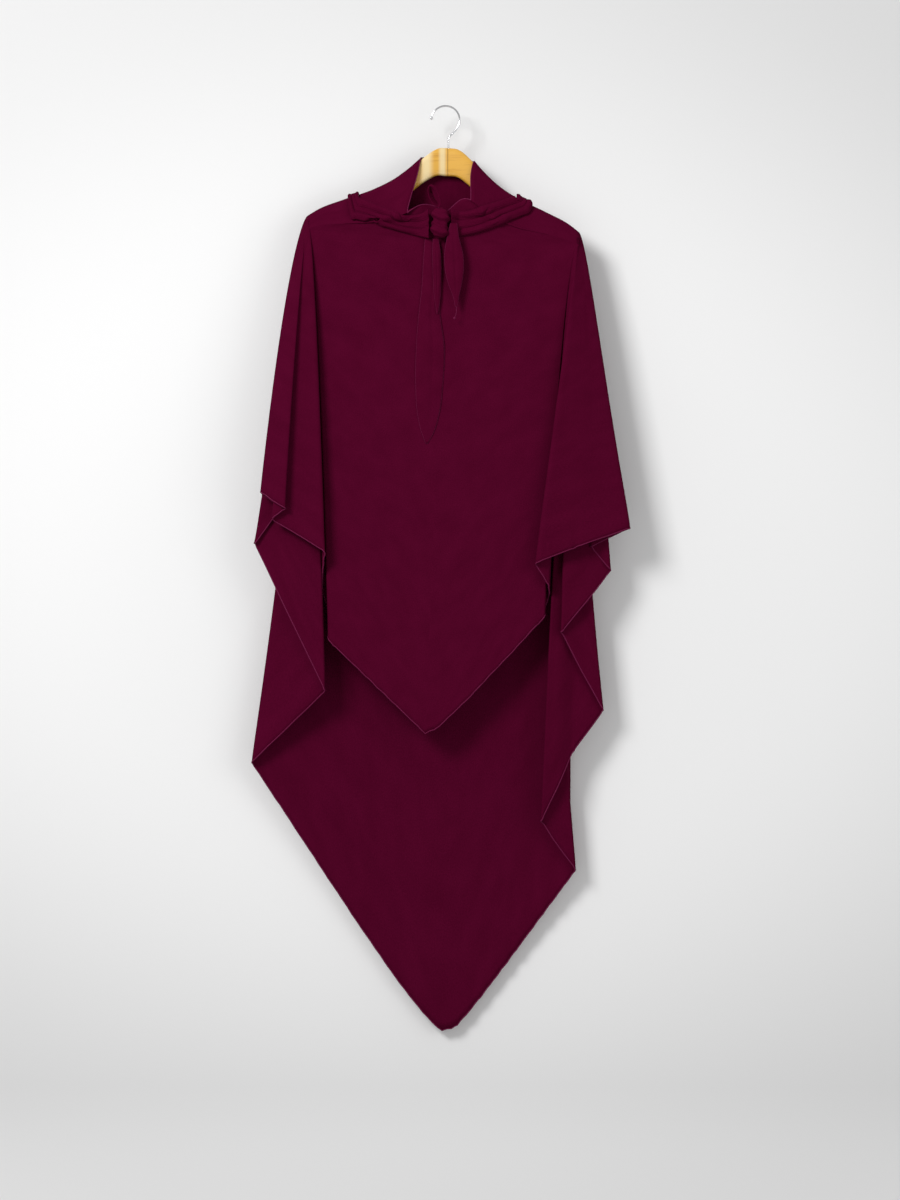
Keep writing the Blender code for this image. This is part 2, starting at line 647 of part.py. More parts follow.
def ties(cloth):
    tie_strap("tie_left", -1, LEFT_TIE_ROWS, LEFT_TIE_SPAN, LEFT_TIE_RISE, cloth)
    tie_strap("tie_right", 1, RIGHT_TIE_ROWS, RIGHT_TIE_SPAN, RIGHT_TIE_RISE, cloth)
    tie_knot(cloth)
    tie_loop(cloth)
    under = KNOT_Z - KNOT_HEIGHT / 2 - GAP - TIE_CLOTH / 2
    tie_tail("tail_long", LONG_TAIL_ROWS, LONG_TAIL, LONG_TAIL_WIDTH, LONG_TAIL_X, under, 0, cloth)
    tie_tail("tail_middle", MIDDLE_TAIL_ROWS, MIDDLE_TAIL, MIDDLE_TAIL_WIDTH, MIDDLE_TAIL_X, under, 1, cloth)
    beside = KNOT_Z - TIE_CLOTH
    tie_tail("tail_short", SHORT_TAIL_ROWS, SHORT_TAIL, SHORT_TAIL_WIDTH, SHORT_TAIL_X, beside, 3, cloth)


for old in list(bpy.data.objects):
    bpy.data.objects.remove(old)
PARTS = bpy.data.collections.new("Khimar veil on a coat hanger")
CUTTERS = bpy.data.collections.new("Cutters")
bpy.context.scene.collection.children.link(PARTS)
bpy.context.scene.collection.children.link(CUTTERS)

hanger_wood()
hanger_hook()
ties(veil())
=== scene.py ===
"""Dresses a khimar veil that hangs on a wooden coat hanger: crepe, hems, ties, lacquered wood and chrome."""

import math

import bpy
import numpy as np
from bpy.props import FloatProperty, FloatVectorProperty, PointerProperty
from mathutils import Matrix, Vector
from mathutils.bvhtree import BVHTree


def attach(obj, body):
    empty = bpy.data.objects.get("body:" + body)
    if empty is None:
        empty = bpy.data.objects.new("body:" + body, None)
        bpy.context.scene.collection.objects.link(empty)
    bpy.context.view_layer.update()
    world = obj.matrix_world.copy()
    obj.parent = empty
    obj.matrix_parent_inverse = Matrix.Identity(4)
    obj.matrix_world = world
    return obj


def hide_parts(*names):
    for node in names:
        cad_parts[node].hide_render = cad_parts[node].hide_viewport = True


bl_info = {
    "name": "Khimar veil on a coat hanger",
    "version": (1, 0, 0),
    "blender": (4, 5, 0),
    "location": "View3D > Sidebar > Khimar",
    "description": "Builds a hanging crepe khimar veil with ties on a wooden coat hanger",
    "category": "Object",
}

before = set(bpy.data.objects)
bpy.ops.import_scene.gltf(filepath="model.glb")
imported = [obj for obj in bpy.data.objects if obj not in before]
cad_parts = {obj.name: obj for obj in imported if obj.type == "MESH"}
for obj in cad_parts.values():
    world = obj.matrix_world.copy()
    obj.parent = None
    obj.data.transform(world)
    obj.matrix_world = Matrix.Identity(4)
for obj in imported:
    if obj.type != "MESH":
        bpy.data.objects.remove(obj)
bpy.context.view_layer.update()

# Top of an arm, from the middle of the hanger to its end: shares of half the width and of the drop
ARM_TOP = (
    (0.00, 0.00),
    (0.07, 0.01),
    (0.18, 0.14),
    (0.27, 0.295),
    (0.38, 0.455),
    (0.52, 0.60),
    (0.75, 0.77),
    (0.93, 0.915),
    (1.00, 1.00),
)
# Edge of the face opening: way round, then left and right as shares of half the face width
FACE_EDGE = (
    (0.00, 0.08, -0.08),
    (0.10, 0.90, 0.42),
    (0.18, 1.48, 0.84),
    (0.27, 1.42, 0.88),
    (0.36, 1.22, 0.88),
    (0.44, 1.08, 0.96),
    (0.50, 1.03, 1.04),
    (0.56, 1.00, 1.02),
    (0.70, 0.76, 0.80),
    (1.00, 0.00, 0.00),
)
# Folds under an arm's end, front to back: name, out, rise, depth in, depth out, bow, sway, roundness
LEFT_FOLDS = (
    ("body edge", 0.600, 0.620, -0.40, -0.40, 0.58, 0.0, 0.5),
    ("valley near", 0.604, 0.480, -0.12, -0.12, 0.58, 0.0, 0.6),
    ("valley far", 0.628, 0.420, -0.12, -0.12, 0.58, 0.0, 0.6),
    ("flank", 0.628, 0.290, -0.56, -0.56, 0.58, 0.0, 0.6),
    ("front ridge", 0.610, 0.226, -0.80, -0.80, 0.58, 0.0, 1.0),
    ("wing valley", 0.885, 0.078, -0.76, -0.86, 0.80, 0.0, 0.5),
    ("wing ridge", 0.818, 0.031, -0.90, -1.00, 0.80, 0.0, 0.8),
    ("corner", 0.943, -0.018, -0.88, -0.74, 0.66, 0.0, 0.9),
    ("hidden turn", 0.844, 0.012, -0.68, -0.58, 0.80, 0.0, 0.8),
    ("upper side", 0.976, 0.080, -0.54, -0.44, 0.92, 0.0, 0.8),
    ("inner ridge", 0.616, 0.360, -0.54, -0.42, 0.82, 0.0, 0.8),
    ("lower side", 1.000, 0.500, -0.14, 0.02, 1.40, 0.0, 0.8),
)
RIGHT_FOLDS = (
    ("body edge", 0.508, 0.440, -0.40, -0.40, 0.55, 0.0, 0.5),
    ("valley near", 0.510, 0.400, -0.14, -0.14, 0.55, 0.0, 0.6),
    ("valley far", 0.530, 0.360, -0.14, -0.14, 0.55, 0.0, 0.6),
    ("flank", 0.530, 0.300, -0.56, -0.56, 0.55, 0.0, 0.6),
    ("front ridge", 0.457, 0.200, -0.70, -0.84, 1.00, 0.0, 1.0),
    ("wing middle", 0.668, 0.127, -0.72, -0.72, 0.90, 0.0, 1.0),
    ("corner", 0.948, 0.017, -0.56, -0.46, 0.75, -0.021, 0.9),
    ("hidden turn", 0.746, 0.053, -0.44, -0.35, 1.00, 0.0, 0.8),
    ("upper side", 0.849, 0.098, -0.33, -0.24, 0.90, 0.0, 0.8),
    ("middle ridge", 0.595, 0.216, -0.48, -0.38, 0.40, 0.0, 0.8),
    ("middle side", 0.813, 0.367, -0.16, -0.04, 2.10, 0.0, 0.8),
    ("recess", 0.654, 0.447, -0.11, -0.11, 1.00, 0.0, 0.8),
    ("inner ridge", 0.492, 0.579, -0.30, -0.18, 0.65, 0.0, 0.8),
    ("lower side", 0.674, 0.675, 0.02, 0.14, 1.00, -0.082, 0.8),
)
# Edges of the ties: along, upper out, upper rise, lower out, lower rise, as shares of span and rise
LEFT_TIE_ROWS = (
    (0.00, 0.13, 0.56, 0.13, -0.60),
    (0.12, 0.20, 0.40, 0.24, -0.50),
    (0.30, 0.42, 0.30, 0.48, -0.30),
    (0.55, 0.64, 0.56, 0.74, -0.06),
    (0.80, 0.84, 0.84, 0.94, 0.10),
    (1.00, 0.95, 0.98, 1.08, 0.20),
)
RIGHT_TIE_ROWS = (
    (0.00, 0.135, 0.43, 0.135, -0.43),
    (0.12, 0.22, 0.40, 0.21, -0.42),
    (0.30, 0.37, 0.42, 0.36, -0.38),
    (0.55, 0.64, 0.64, 0.64, -0.18),
    (0.80, 0.85, 0.84, 0.96, 0.16),
    (1.00, 0.96, 0.94, 1.16, 0.38),
)
# Free ends of the ties: down, left, right, as shares of the length and of the width
LONG_TAIL_ROWS = (
    (0.00, -0.22, 0.18),
    (0.13, -0.29, 0.26),
    (0.25, -0.34, 0.28),
    (0.36, -0.44, 0.30),
    (0.54, -0.54, 0.46),
    (0.72, -0.56, 0.40),
    (0.85, -0.50, 0.28),
    (0.95, -0.34, 0.06),
    (1.00, -0.20, -0.14),
)
MIDDLE_TAIL_ROWS = (
    (0.00, -0.30, 0.20),
    (0.20, -0.35, 0.45),
    (0.50, -0.28, 0.50),
    (0.75, -0.18, 0.42),
    (0.92, 0.00, 0.25),
    (1.00, 0.08, 0.14),
)
SHORT_TAIL_ROWS = (
    (0.00, -0.16, 0.14),
    (0.15, -0.30, 0.22),
    (0.38, -0.44, 0.44),
    (0.58, -0.40, 0.46),
    (0.74, -0.24, 0.36),
    (0.88, -0.02, 0.24),
    (1.00, 0.08, 0.16),
)
GAP = 0.0003
FRONT_FILL = 12
BACK_FILL = 20
COLLAR_ROWS = 26
DROP_ROWS = 96
CLOTH_STEP = 0.011
CORNER_ROUND = 0.5
FOLDS_ROUND = 0.3
PLEATS = 3
TIE_ROWS = 14
TIE_OVER_ROWS = 6
# Rows and columns of the fine grids
TIE_FINE = (84, 61)
KNOT_FINE = (72, 96)
LOOP_FINE = (84, 13)
TAIL_FINE = (90, 25)
ARM_FINE = (161, 48)
HOOK_ROWS = 64
# How far the cloth between two folds puffs out, as a share of its width, and at most
PUFF = 0.035
PUFF_LIMIT = 0.003
# Lengths of the hem's three ripples, and how far up they reach
RIPPLES = (0.034, 0.021, 0.0125)
RIPPLE_REACH = 0.014


def length(name, value, text):
    return FloatProperty(name=name, description=text, default=value, unit="LENGTH", precision=4)


def colour(name, value, text):
    return FloatVectorProperty(name=name, description=text, default=value, subtype="COLOR", min=0, max=1)


class KhimarVeilSizes(bpy.types.PropertyGroup):
    """Sizes of the veil, in metres"""

    wall: length("Cloth", 0.0012, "Thickness of the crepe")
    half_width: length("Half width", 0.325, "Half the width across the side folds")
    side_drop: length("Side drop", 0.475, "From an arm's end down to the front corner of the side")
    front_drop: length("Front drop", 0.846, "From the arms' ends down to the front point")
    back_drop: length("Back drop", 1.346, "From the arms' ends down to the back point")
    front_tip_x: length("Front point", -0.034, "How far the front point is to the right of the hook")
    back_tip_x: length("Back point", 0.010, "How far the back point is to the right of the hook")
    fold_depth: length("Fold depth", 0.080, "How far the side folds stand out to the front")
    left_back_swell: length("Left back swell", 0.040, "How far the back hem bulges on the left")
    right_front_swell: length("Right front swell", 0.012, "How far the front hem bulges on the right")
    right_back_swell: length("Right back swell", 0.010, "How far the back hem bulges on the right")
    fold_radius: length("Fold radius", 0.011, "Roundness of a full fold")
    fold_reach: length("Fold reach", 0.20, "Drop in which the folds open")
    front_depth: length("Front depth", 0.036, "How far the front hangs before the hanger")
    back_depth: length("Back depth", 0.026, "How far the back hangs behind the hanger")
    face_half_width: length("Half face width", 0.0435, "Half the width of the face opening")
    face_drop: length("Face drop", 0.111, "From the wood's top to the front of the face opening")
    face_back_drop: length("Nape drop", 0.022, "From the wood's top to the back of the face opening")
    neck_drop: length("Neck drop", 0.166, "From the wood's top to where the plain drop begins")
    collar_leg: length("Collar leg", 0.066, "How far the hood's front edge falls below the arm")
    collar_back_leg: length("Collar back leg", 0.004, "How far the hood's back edge falls below the arm")
    collar_flare: length("Collar flare", 0.017, "How far the hood's front edge stands forward")
    shoulder_leg: length("Shoulder leg", 0.012, "How far the cloth falls straight from an arm's end")
    leg_spread: FloatProperty(name="Leg spread", description="Slope of the cloth under an arm", default=0.12)
    arm_ease: length("Arm ease", 0.0032, "Room between the wood and the cloth")
    hem_wave: length("Hem wave", 0.0009, "Height of the hem's ripples")
    hem_radius: length("Hem radius", 0.0011, "Half the thickness of the overlocked edge")


class KhimarTieSizes(bpy.types.PropertyGroup):
    """Sizes of the ties, in metres"""

    wall: length("Cloth", 0.0012, "Thickness of the tie")
    pleat: length("Pleat", 0.004, "How far a pleat stands out")
    back_leg: length("Back leg", 0.010, "How far a tie falls behind the arm")
    ease: length("Ease", 0.0026, "Room between a tie and the veil")
    knot_width: length("Knot width", 0.030, "Width of the knot")
    knot_height: length("Knot height", 0.050, "Height of the knot")
    knot_depth: length("Knot depth", 0.026, "Depth of the knot")
    knot_groove: length("Knot groove", 0.0024, "Depth of the grooves between the turns of the knot")
    knot_x: length("Knot across", -0.009, "Knot's middle, to the right of the hook")
    knot_z: length("Knot height place", -0.200, "Knot's middle, above the hook's inner top")
    left_span: length("Left span", 0.137, "From the knot to the top of the left arm")
    left_rise: length("Left rise", 0.043, "Rise of the left tie")
    right_span: length("Right span", 0.128, "From the knot to the top of the right arm")
    right_rise: length("Right rise", 0.050, "Rise of the right tie")
    loop_height: length("Loop height", 0.034, "Height of the loop")
    loop_width: length("Loop width", 0.015, "Width of the loop")
    loop_band: length("Loop band", 0.012, "Width of the band that the loop is made of")
    loop_lean: length("Loop lean", 0.012, "How far the loop leans to the left")
    tail_swell: length("Tail swell", 0.0025, "How far a tail bulges forward")
    tail_layer: length("Tail layer", 0.0045, "Depth between two tails that hang over each other")
    long_tail: length("Long tail", 0.340, "Length of the long tail")
    middle_tail: length("Middle tail", 0.124, "Length of the middle tail")
    short_tail: length("Short tail", 0.138, "Length of the short tail")
    long_width: length("Long tail width", 0.046, "Width of the long tail")
    middle_width: length("Middle tail width", 0.016, "Width of the middle tail")
    short_width: length("Short tail width", 0.034, "Width of the short tail")
    long_x: length("Long tail place", -0.0235, "Middle of the long tail")
    middle_x: length("Middle tail place", -0.0155, "Middle of the middle tail")
    thread_end: length("Loose thread", 0.021, "Length of the thread end under the short tail")
    short_x: length("Short tail place", 0.0138, "Middle of the short tail")


class KhimarHangerSizes(bpy.types.PropertyGroup):
    """Sizes of the coat hanger, in metres"""

    width: length("Width", 0.445, "From end to end of the arms")
    drop: length("Drop", 0.134, "From the top of the wood to the top of an arm's end")
    tilt: FloatProperty(
        name="Tilt", description="Lean to the right", default=math.radians(3.6), subtype="ANGLE"
    )
    thickness: length("Thickness", 0.014, "Thickness of the wood")
    height: length("Height", 0.0475, "Height of the wood in its middle")
    tip_height: length("Tip height", 0.015, "Height of the wood at its ends")
    sweep: length("Sweep", 0.018, "How far the arms' ends come forward")
    hook_radius: length("Hook radius", 0.0237, "Radius of the hook to the middle of its wire")
    wire: length("Wire", 0.0034, "Thickness of the hook's wire")
    ball: length("Ball", 0.0056, "Thickness of the ball at the hook's tip")
    hook_height: length("Hook height", 0.069, "From the hook's inner top to the wood's top")
    stem: length("Stem", 0.017, "Straight part of the hook above the wood")
    stem_offset: length("Stem offset", 0.0050, "How far the stem is to the right of the hook's middle")
    stem_depth: length("Stem depth", 0.022, "How far the stem goes into the wood")


class KhimarFinish(bpy.types.PropertyGroup):
    """Colours and the stage"""

    cloth: colour("Cloth", (0.063, 0.0006, 0.0140), "Main colour of the crepe")
    cloth_light: colour("Cloth, raised", (0.090, 0.0018, 0.0215), "Colour of the crepe's raised grain")
    thread: colour("Thread", (0.210, 0.020, 0.085), "Colour of the overlock thread")
    wood: colour("Wood", (0.80, 0.43, 0.055), "Colour of the wood")
    # The pale colour is a painted highlight: light reflected on the lacquer, laid into the wood's colour as
    # streaks.
    wood_painted_highlight: colour("Wood, pale", (0.93, 0.76, 0.42), "Colour of the pale streaks")
    wood_dark: colour("Wood, grain", (0.58, 0.26, 0.028), "Colour of the wood's grain")
    metal: colour("Metal", (0.80, 0.80, 0.81), "Colour of the hook")
    wall: colour("Wall", (0.93, 0.93, 0.93), "Colour of the wall")
    camera_distance: length("Camera distance", 5.0, "From the lens to the hanger")
    wall_depth: length("Wall depth", 0.046, "How far the wall is behind the hanger")
    floor_drop: length("Floor drop", 1.95, "From the hook down to the floor")


def curve_through(rows, column, at):
    """Smooth values of a table's column by its first column: a cubic through its rows, with mean slopes."""
    table = np.array([[row[0], row[column]] for row in rows], float)
    slope = np.gradient(table[:, 1], table[:, 0])
    at = np.clip(np.asarray(at, float), table[0, 0], table[-1, 0])
    k = np.clip(np.searchsorted(table[:, 0], at, side="right") - 1, 0, len(table) - 2)
    step = table[k + 1, 0] - table[k, 0]
    t = (at - table[k, 0]) / step
    start = table[k, 1] * (1 + 2 * t) * (1 - t) ** 2 + slope[k] * step * t * (1 - t) ** 2
    end = table[k + 1, 1] * t * t * (3 - 2 * t) + slope[k + 1] * step * t * t * (t - 1)
    return start + end


def refined(points, count):
    """A grid with more rows: a cubic down each column, its slope the mean of two steps."""
    at = np.linspace(0, len(points) - 1, count)
    k = np.minimum(at.astype(int), len(points) - 2)
    t = (at - k).reshape((-1,) + (1,) * (points.ndim - 1))
    slope = np.gradient(points, axis=0)
    start = points[k] * (1 + 2 * t) * (1 - t) ** 2 + slope[k] * t * (1 - t) ** 2
    end = points[k + 1] * t * t * (3 - 2 * t) + slope[k + 1] * t * t * (t - 1)
    return start + end


def tilted(hanger, x, z):
    """A point of the level hanger, turned clockwise by its tilt and set under the hook."""
    cos, sin = math.cos(hanger.tilt), math.sin(hanger.tilt)
    return hanger.stem_offset + x * cos + z * sin, -hanger.hook_height - x * sin + z * cos


def arm_line(hanger, side, out):
    """The line along the top of one arm at a share of its length: x, depth and z."""
    x, z = tilted(hanger, side * out * hanger.width / 2, -hanger.drop * curve_through(ARM_TOP, 1, out))
    return x, -hanger.sweep * np.asarray(out), z


def unit(vectors):
    return vectors / np.maximum(np.linalg.norm(vectors, axis=-1, keepdims=True), 1e-9)


def grid_normals(points, round_columns=False, round_rows=False):
    """Normals of a grid: the cross product of its steps along the columns and down the rows."""
    if round_columns:
        along = np.roll(points, -1, axis=1) - np.roll(points, 1, axis=1)
    else:
        along = np.gradient(points, axis=1)
    if round_rows:
        down = np.roll(points, -1, axis=0) - np.roll(points, 1, axis=0)
    else:
        down = np.gradient(points, axis=0)
    return unit(np.cross(down, along))


def surface(name, points, uv, round_columns=False, round_rows=False, caps=False):
    """An object from a grid of points: quads between neighbours, closed where asked, its uv in metres."""
    rows, columns = points.shape[:2]
    i, j = np.meshgrid(
        np.arange(rows if round_rows else rows - 1),
        np.arange(columns if round_columns else columns - 1),
        indexing="ij",
    )
    low, right = (i + 1) % rows, (j + 1) % columns
    quads = np.stack([i * columns + j, low * columns + j, low * columns + right, i * columns + right], -1)
    faces = quads.reshape(-1, 4).tolist()
    u = np.stack([uv[i, j], uv[i + 1, j], uv[i + 1, j + 1], uv[i, j + 1]], 2).reshape(-1, 2)
    if caps:
        faces += [list(range(columns))[::-1], [(rows - 1) * columns + k for k in range(columns)]]
        u = np.concatenate([u, uv[0, :columns][::-1], uv[rows - 1, :columns]])
    mesh = bpy.data.meshes.new(name)
    mesh.from_pydata(points.reshape(-1, 3).tolist(), [], faces)
    layer = mesh.uv_layers.new(name="cloth")
    layer.data.foreach_set("uv", u.astype(np.float32).reshape(-1))
    mesh.shade_smooth()
    mesh.update()
    obj = bpy.data.objects.new(name, mesh)
    bpy.context.scene.collection.objects.link(obj)
    return obj


def flat_uv(points, round_columns=False, round_rows=False):
    """Distances in metres across and down a grid, with one more column or row where it closes."""
    closed = points
    if round_columns:
        closed = np.concatenate([closed, closed[:, :1]], axis=1)
    if round_rows:
        closed = np.concatenate([closed, closed[:1]], axis=0)
    across = np.linalg.norm(np.diff(closed, axis=1), axis=-1).mean(axis=0)
    down = np.linalg.norm(np.diff(closed, axis=0), axis=-1).mean(axis=1)
    u = np.concatenate([[0], np.cumsum(across)])
    v = np.concatenate([[0], np.cumsum(down)])
    return np.stack(np.meshgrid(u, -v), -1)


def walled(obj, thickness):
    wall = obj.modifiers.new("wall", "SOLIDIFY")
    wall.thickness = thickness
    wall.offset = 0.0
    wall.use_even_offset = False
    return obj


def tube(name, path, radius, sides=8, closed=False):
    """A round profile carried along a path: point plus radius times the two unit vectors across the path."""
    path = np.asarray(path, float)
    if closed:
        along = unit(np.roll(path, -1, axis=0) - np.roll(path, 1, axis=0))
    else:
        along = unit(np.gradient(path, axis=0))
    first = unit(np.cross(along, (0.0, 1.0, 0.0)))
    second = unit(np.cross(along, first))
    turn = np.linspace(0, 2 * math.pi, sides, endpoint=False)
    reach = np.broadcast_to(np.asarray(radius, float).reshape(-1, 1, 1), (len(path), 1, 1))
    ring = first[:, None] * np.cos(turn)[:, None] + second[:, None] * np.sin(turn)[:, None]
    points = path[:, None] + reach * ring
    uv = flat_uv(points, round_columns=True, round_rows=closed)
    return surface(name, points, uv, round_columns=True, round_rows=closed, caps=not closed)


def wrap_section(veil, hanger, way, leg_front, leg_back, flare):
    """Depth and height round the arm, by the way round: half a circle over its top, then two legs."""
    radius = hanger.thickness / 2 + veil.wall / 2 + veil.arm_ease
    quarter = radius * math.pi / 2
    share = np.clip((way - CORNER_ROUND) / FOLDS_ROUND, -1, 1)
    leg = np.where(share < 0, leg_front, leg_back)
    distance = np.abs(share) * (quarter + leg)
    angle = np.minimum(distance / radius, math.pi / 2)
    down = np.maximum(distance - quarter, 0)
    depth = np.sign(share) * (radius * np.sin(angle) + veil.leg_spread * down)
    depth -= flare * np.where(share < 0, (down / leg) ** 1.5, 0)
    return depth, radius * np.cos(angle) - hanger.thickness / 2 - down


def column(way, x, drop, depth, bow=1.0, sway=0.0, bend=0.0):
    return {"way": way, "x": x, "drop": drop, "depth": depth, "bow": bow, "sway": sway, "bend": bend}


def fold_columns(veil, side, folds):
    """The columns of each fold: where the cloth comes in and, if it turns back, where it leaves."""
    corner = [row[0] for row in folds].index("corner")
    places = [(index, depth) for index, row in enumerate(folds) for depth in dict.fromkeys(row[3:5])]
    middle = [index for index, _ in places].index(corner) + 0.5
    found = []
    for place, (index, depth) in enumerate(places):
        _, out, rise, _, _, bow, sway, bend = folds[index]
        lowest = veil.front_drop if index < corner else veil.back_drop
        room = middle if place < middle else len(places) - 1 - middle
        found.append(
            column(
                CORNER_ROUND + FOLDS_ROUND * (place - middle) / room,
                side * out * veil.half_width,
                veil.side_drop + rise * (lowest - veil.side_drop),
                depth * veil.fold_depth,
                bow,
                side * sway * veil.half_width,
                bend * veil.fold_radius,
            )
        )
    return found


def plain_columns(tip, edge, count, swell):
    """Plain cloth from a hem's point to the nearest fold; its hem swells as a sine of the way's root."""
    found = []
    for along in (np.arange(count) + 1) / (count + 1):
        values = {key: tip[key] + along * (edge[key] - tip[key]) for key in ("way", "x", "drop")}
        values["drop"] += swell * math.sin(math.pi * math.sqrt(along))
        found.append(column(depth=tip["depth"] + (edge["depth"] - tip["depth"]) * along**3, **values))
    return found


def side_columns(veil, hanger, side, folds, front_swell, back_swell):
    """All columns of one side, front middle to back middle, both included."""
    level = arm_line(hanger, side, 1.0)[2] - arm_line(hanger, -side, 1.0)[2]
    front = column(0.0, veil.front_tip_x, veil.front_drop + level / 2, -veil.front_depth)
    back = column(1.0, veil.back_tip_x, veil.back_drop + level / 2, veil.back_depth)
    folded = fold_columns(veil, side, folds)
    before = plain_columns(front, folded[0], FRONT_FILL, front_swell)
    behind = plain_columns(back, folded[-1], BACK_FILL, back_swell)
    return [front, *before, *folded, *behind[::-1], back]


def column_grid(veil, hanger, columns, side):
    """Rows down every column: the rim, the hood over the arm, then the drop.

    In the drop a column goes from x at the arm's end to x at the hem as share to the power of its bow, and
    its depth opens as one minus exp of the drop over the fold reach.
    """
    value = {key: np.array([c[key] for c in columns]) for key in columns[0]}
    way = value["way"]
    plain = np.clip((np.abs(way - CORNER_ROUND) - FOLDS_ROUND) / (0.5 - FOLDS_ROUND), 0, 1)
    in_front = way < CORNER_ROUND
    rim_out = curve_through(FACE_EDGE, 1 if side < 0 else 2, way) * veil.face_half_width * 2 / hanger.width
    rim = wrap_section(veil, hanger, way, veil.collar_leg, veil.collar_back_leg, veil.collar_flare)
    end = wrap_section(veil, hanger, way, veil.shoulder_leg, veil.shoulder_leg, 0.0)
    wood_z = -hanger.hook_height
    middle_rim = np.stack(
        [
            np.where(in_front, -veil.front_depth * 0.86, hanger.thickness / 2 + veil.arm_ease),
            wood_z - np.where(in_front, veil.face_drop, veil.face_back_drop),
        ]
    )
    middle_depth = np.where(in_front, -veil.front_depth * 0.9, veil.back_depth * 0.6)

    def on_arm(share):
        x, y, z = arm_line(hanger, side, np.abs(rim_out) * (1 - share) + share)
        x = x + side * share * (veil.arm_ease + veil.wall)
        x = np.where(rim_out < 0, arm_line(hanger, -side, -rim_out)[0] * (1 - share) + x * share, x)
        depth, height = rim[0] + (end[0] - rim[0]) * share, rim[1] + (end[1] - rim[1]) * share
        return np.stack([x, y + depth, z + height])

    start, finish = on_arm(0.0), on_arm(1.0)
    start[1:] = start[1:] * (1 - plain) + middle_rim * plain
    finish[0] = finish[0] * (1 - plain)
    finish[1] = finish[1] * (1 - plain) + middle_depth * plain
    finish[2] = finish[2] * (1 - plain) + (wood_z - veil.neck_drop) * plain
    rows = []
    for share in np.linspace(0, 1, COLLAR_ROWS + 1)[:-1]:
        straight = start + (finish - start) * share
        rows.append(straight + (on_arm(share) - straight) * (1 - plain) ** 4)
    hem_z = float(arm_line(hanger, side, 1.0)[2]) - value["drop"]
    for share in np.linspace(0, 1, DROP_ROWS + 1) ** 1.15:
        z = finish[2] + (hem_z - finish[2]) * share
        fallen = finish[2] - z
        x = finish[0] + (value["x"] - finish[0]) * share ** value["bow"]
        x = x + value["sway"] * 4 * share * (1 - share)
        y = finish[1] + (value["depth"] - finish[1]) * (1 - np.exp(-fallen / veil.fold_reach))
        rows.append(np.stack([x, y, z]))
    return np.stack(rows).transpose(0, 2, 1)


def rounded(grid, radius):
    """Bends every fold as a quadratic curve, and cuts the cloth between two folds into even steps."""
    behind, ahead = np.roll(grid, 1, axis=1) - grid, np.roll(grid, -1, axis=1) - grid
    reach = []
    for away in (behind, ahead):
        distance = np.maximum(np.linalg.norm(away, axis=-1, keepdims=True), 1e-6)
        reach.append(grid + away * np.minimum(0.46, radius[None, :, None] / distance))
    parts = []
    for k, bend in enumerate(radius):
        here = grid[:, k : k + 1]
        first, last = reach[0][:, k : k + 1], reach[1][:, k : k + 1]
        following = reach[0][:, (k + 1) % len(radius)][:, None]
        if bend:
            t = np.linspace(0, 1, 8)[None, :, None]
            parts.append(first * (1 - t) ** 2 + here * 2 * t * (1 - t) + last * t**2)
        else:
            parts.append(here)
        count = max(int(np.linalg.norm(following - last, axis=-1).mean() / CLOTH_STEP), 1)
        t = (np.arange(1, count + 1) / (count + 1))[None, :, None]
        puff = np.minimum(np.linalg.norm(following - last, axis=-1, keepdims=True) * PUFF, PUFF_LIMIT)
        out = unit(np.cross(np.gradient(here, axis=0), following - last))
        parts.append(last * (1 - t) + following * t + out * puff * np.sin(math.pi * t) * bool(bend))
    return np.concatenate(parts, axis=1)


def waved(grid, size):
    """Lets the hem ripple: sines of the way along it, fading upwards as exp of minus the way to the hem."""
    step = np.linalg.norm(grid[-1] - np.roll(grid[-1], 1, axis=0), axis=-1)
    along = np.cumsum(step)
    turns = 2 * math.pi * np.round(along[-1] / np.array(RIPPLES)) / along[-1]
    ripple = np.sin(turns[0] * along) + 0.8 * np.sin(turns[1] * along + 2 * np.sin(turns[0] / 3 * along))
    drop = 0.6 * np.sin(turns[2] * along + 1.0) + 0.7 * np.sin(turns[0] * along + 2.0)
    rise = np.linalg.norm(grid - grid[-1], axis=-1)
    fade = np.exp(-rise / RIPPLE_REACH)
    moved = grid + grid_normals(grid) * (size * ripple * fade)[..., None]
    moved[..., 2] += size * 0.8 * drop * fade
    return moved


def veil_grid(veil, hanger):
    """The middle of the veil's cloth: front middle, left folds, back middle, right folds."""
    left = side_columns(veil, hanger, -1, LEFT_FOLDS, 0.0, veil.left_back_swell)
    right = side_columns(veil, hanger, 1, RIGHT_FOLDS, veil.right_front_swell, veil.right_back_swell)
    right = right[1:-1][::-1]
    grid = np.concatenate([column_grid(veil, hanger, left, -1), column_grid(veil, hanger, right, 1)], axis=1)
    return waved(rounded(grid, np.array([c["bend"] for c in left + right])), veil.hem_wave)


def cloth_tree(grid):
    """A search tree of the veil's middle surface, for what lies on it."""
    rows, columns = grid.shape[:2]
    i, j = np.meshgrid(np.arange(rows - 1), np.arange(columns), indexing="ij")
    right = (j + 1) % columns
    top, low = i * columns, (i + 1) * columns
    faces = np.stack([top + j, low + j, low + right, top + right], -1)
    return BVHTree.FromPolygons(grid.reshape(-1, 3).tolist(), faces.reshape(-1, 4).tolist())


def front_of(cloth, x, z):
    """Depth of the veil's front at a point seen from the front, or none inside the face opening."""
    hit = cloth.ray_cast((x, -1.0, z), (0.0, 1.0, 0.0))[0]
    return hit[1] if hit and hit[1] < 0 else None


def seat_depth(cloth, x_values, z, thickness, wall):
    found = [front_of(cloth, x, z) for x in x_values]
    return min(y for y in found if y is not None) - wall / 2 - thickness / 2 - GAP


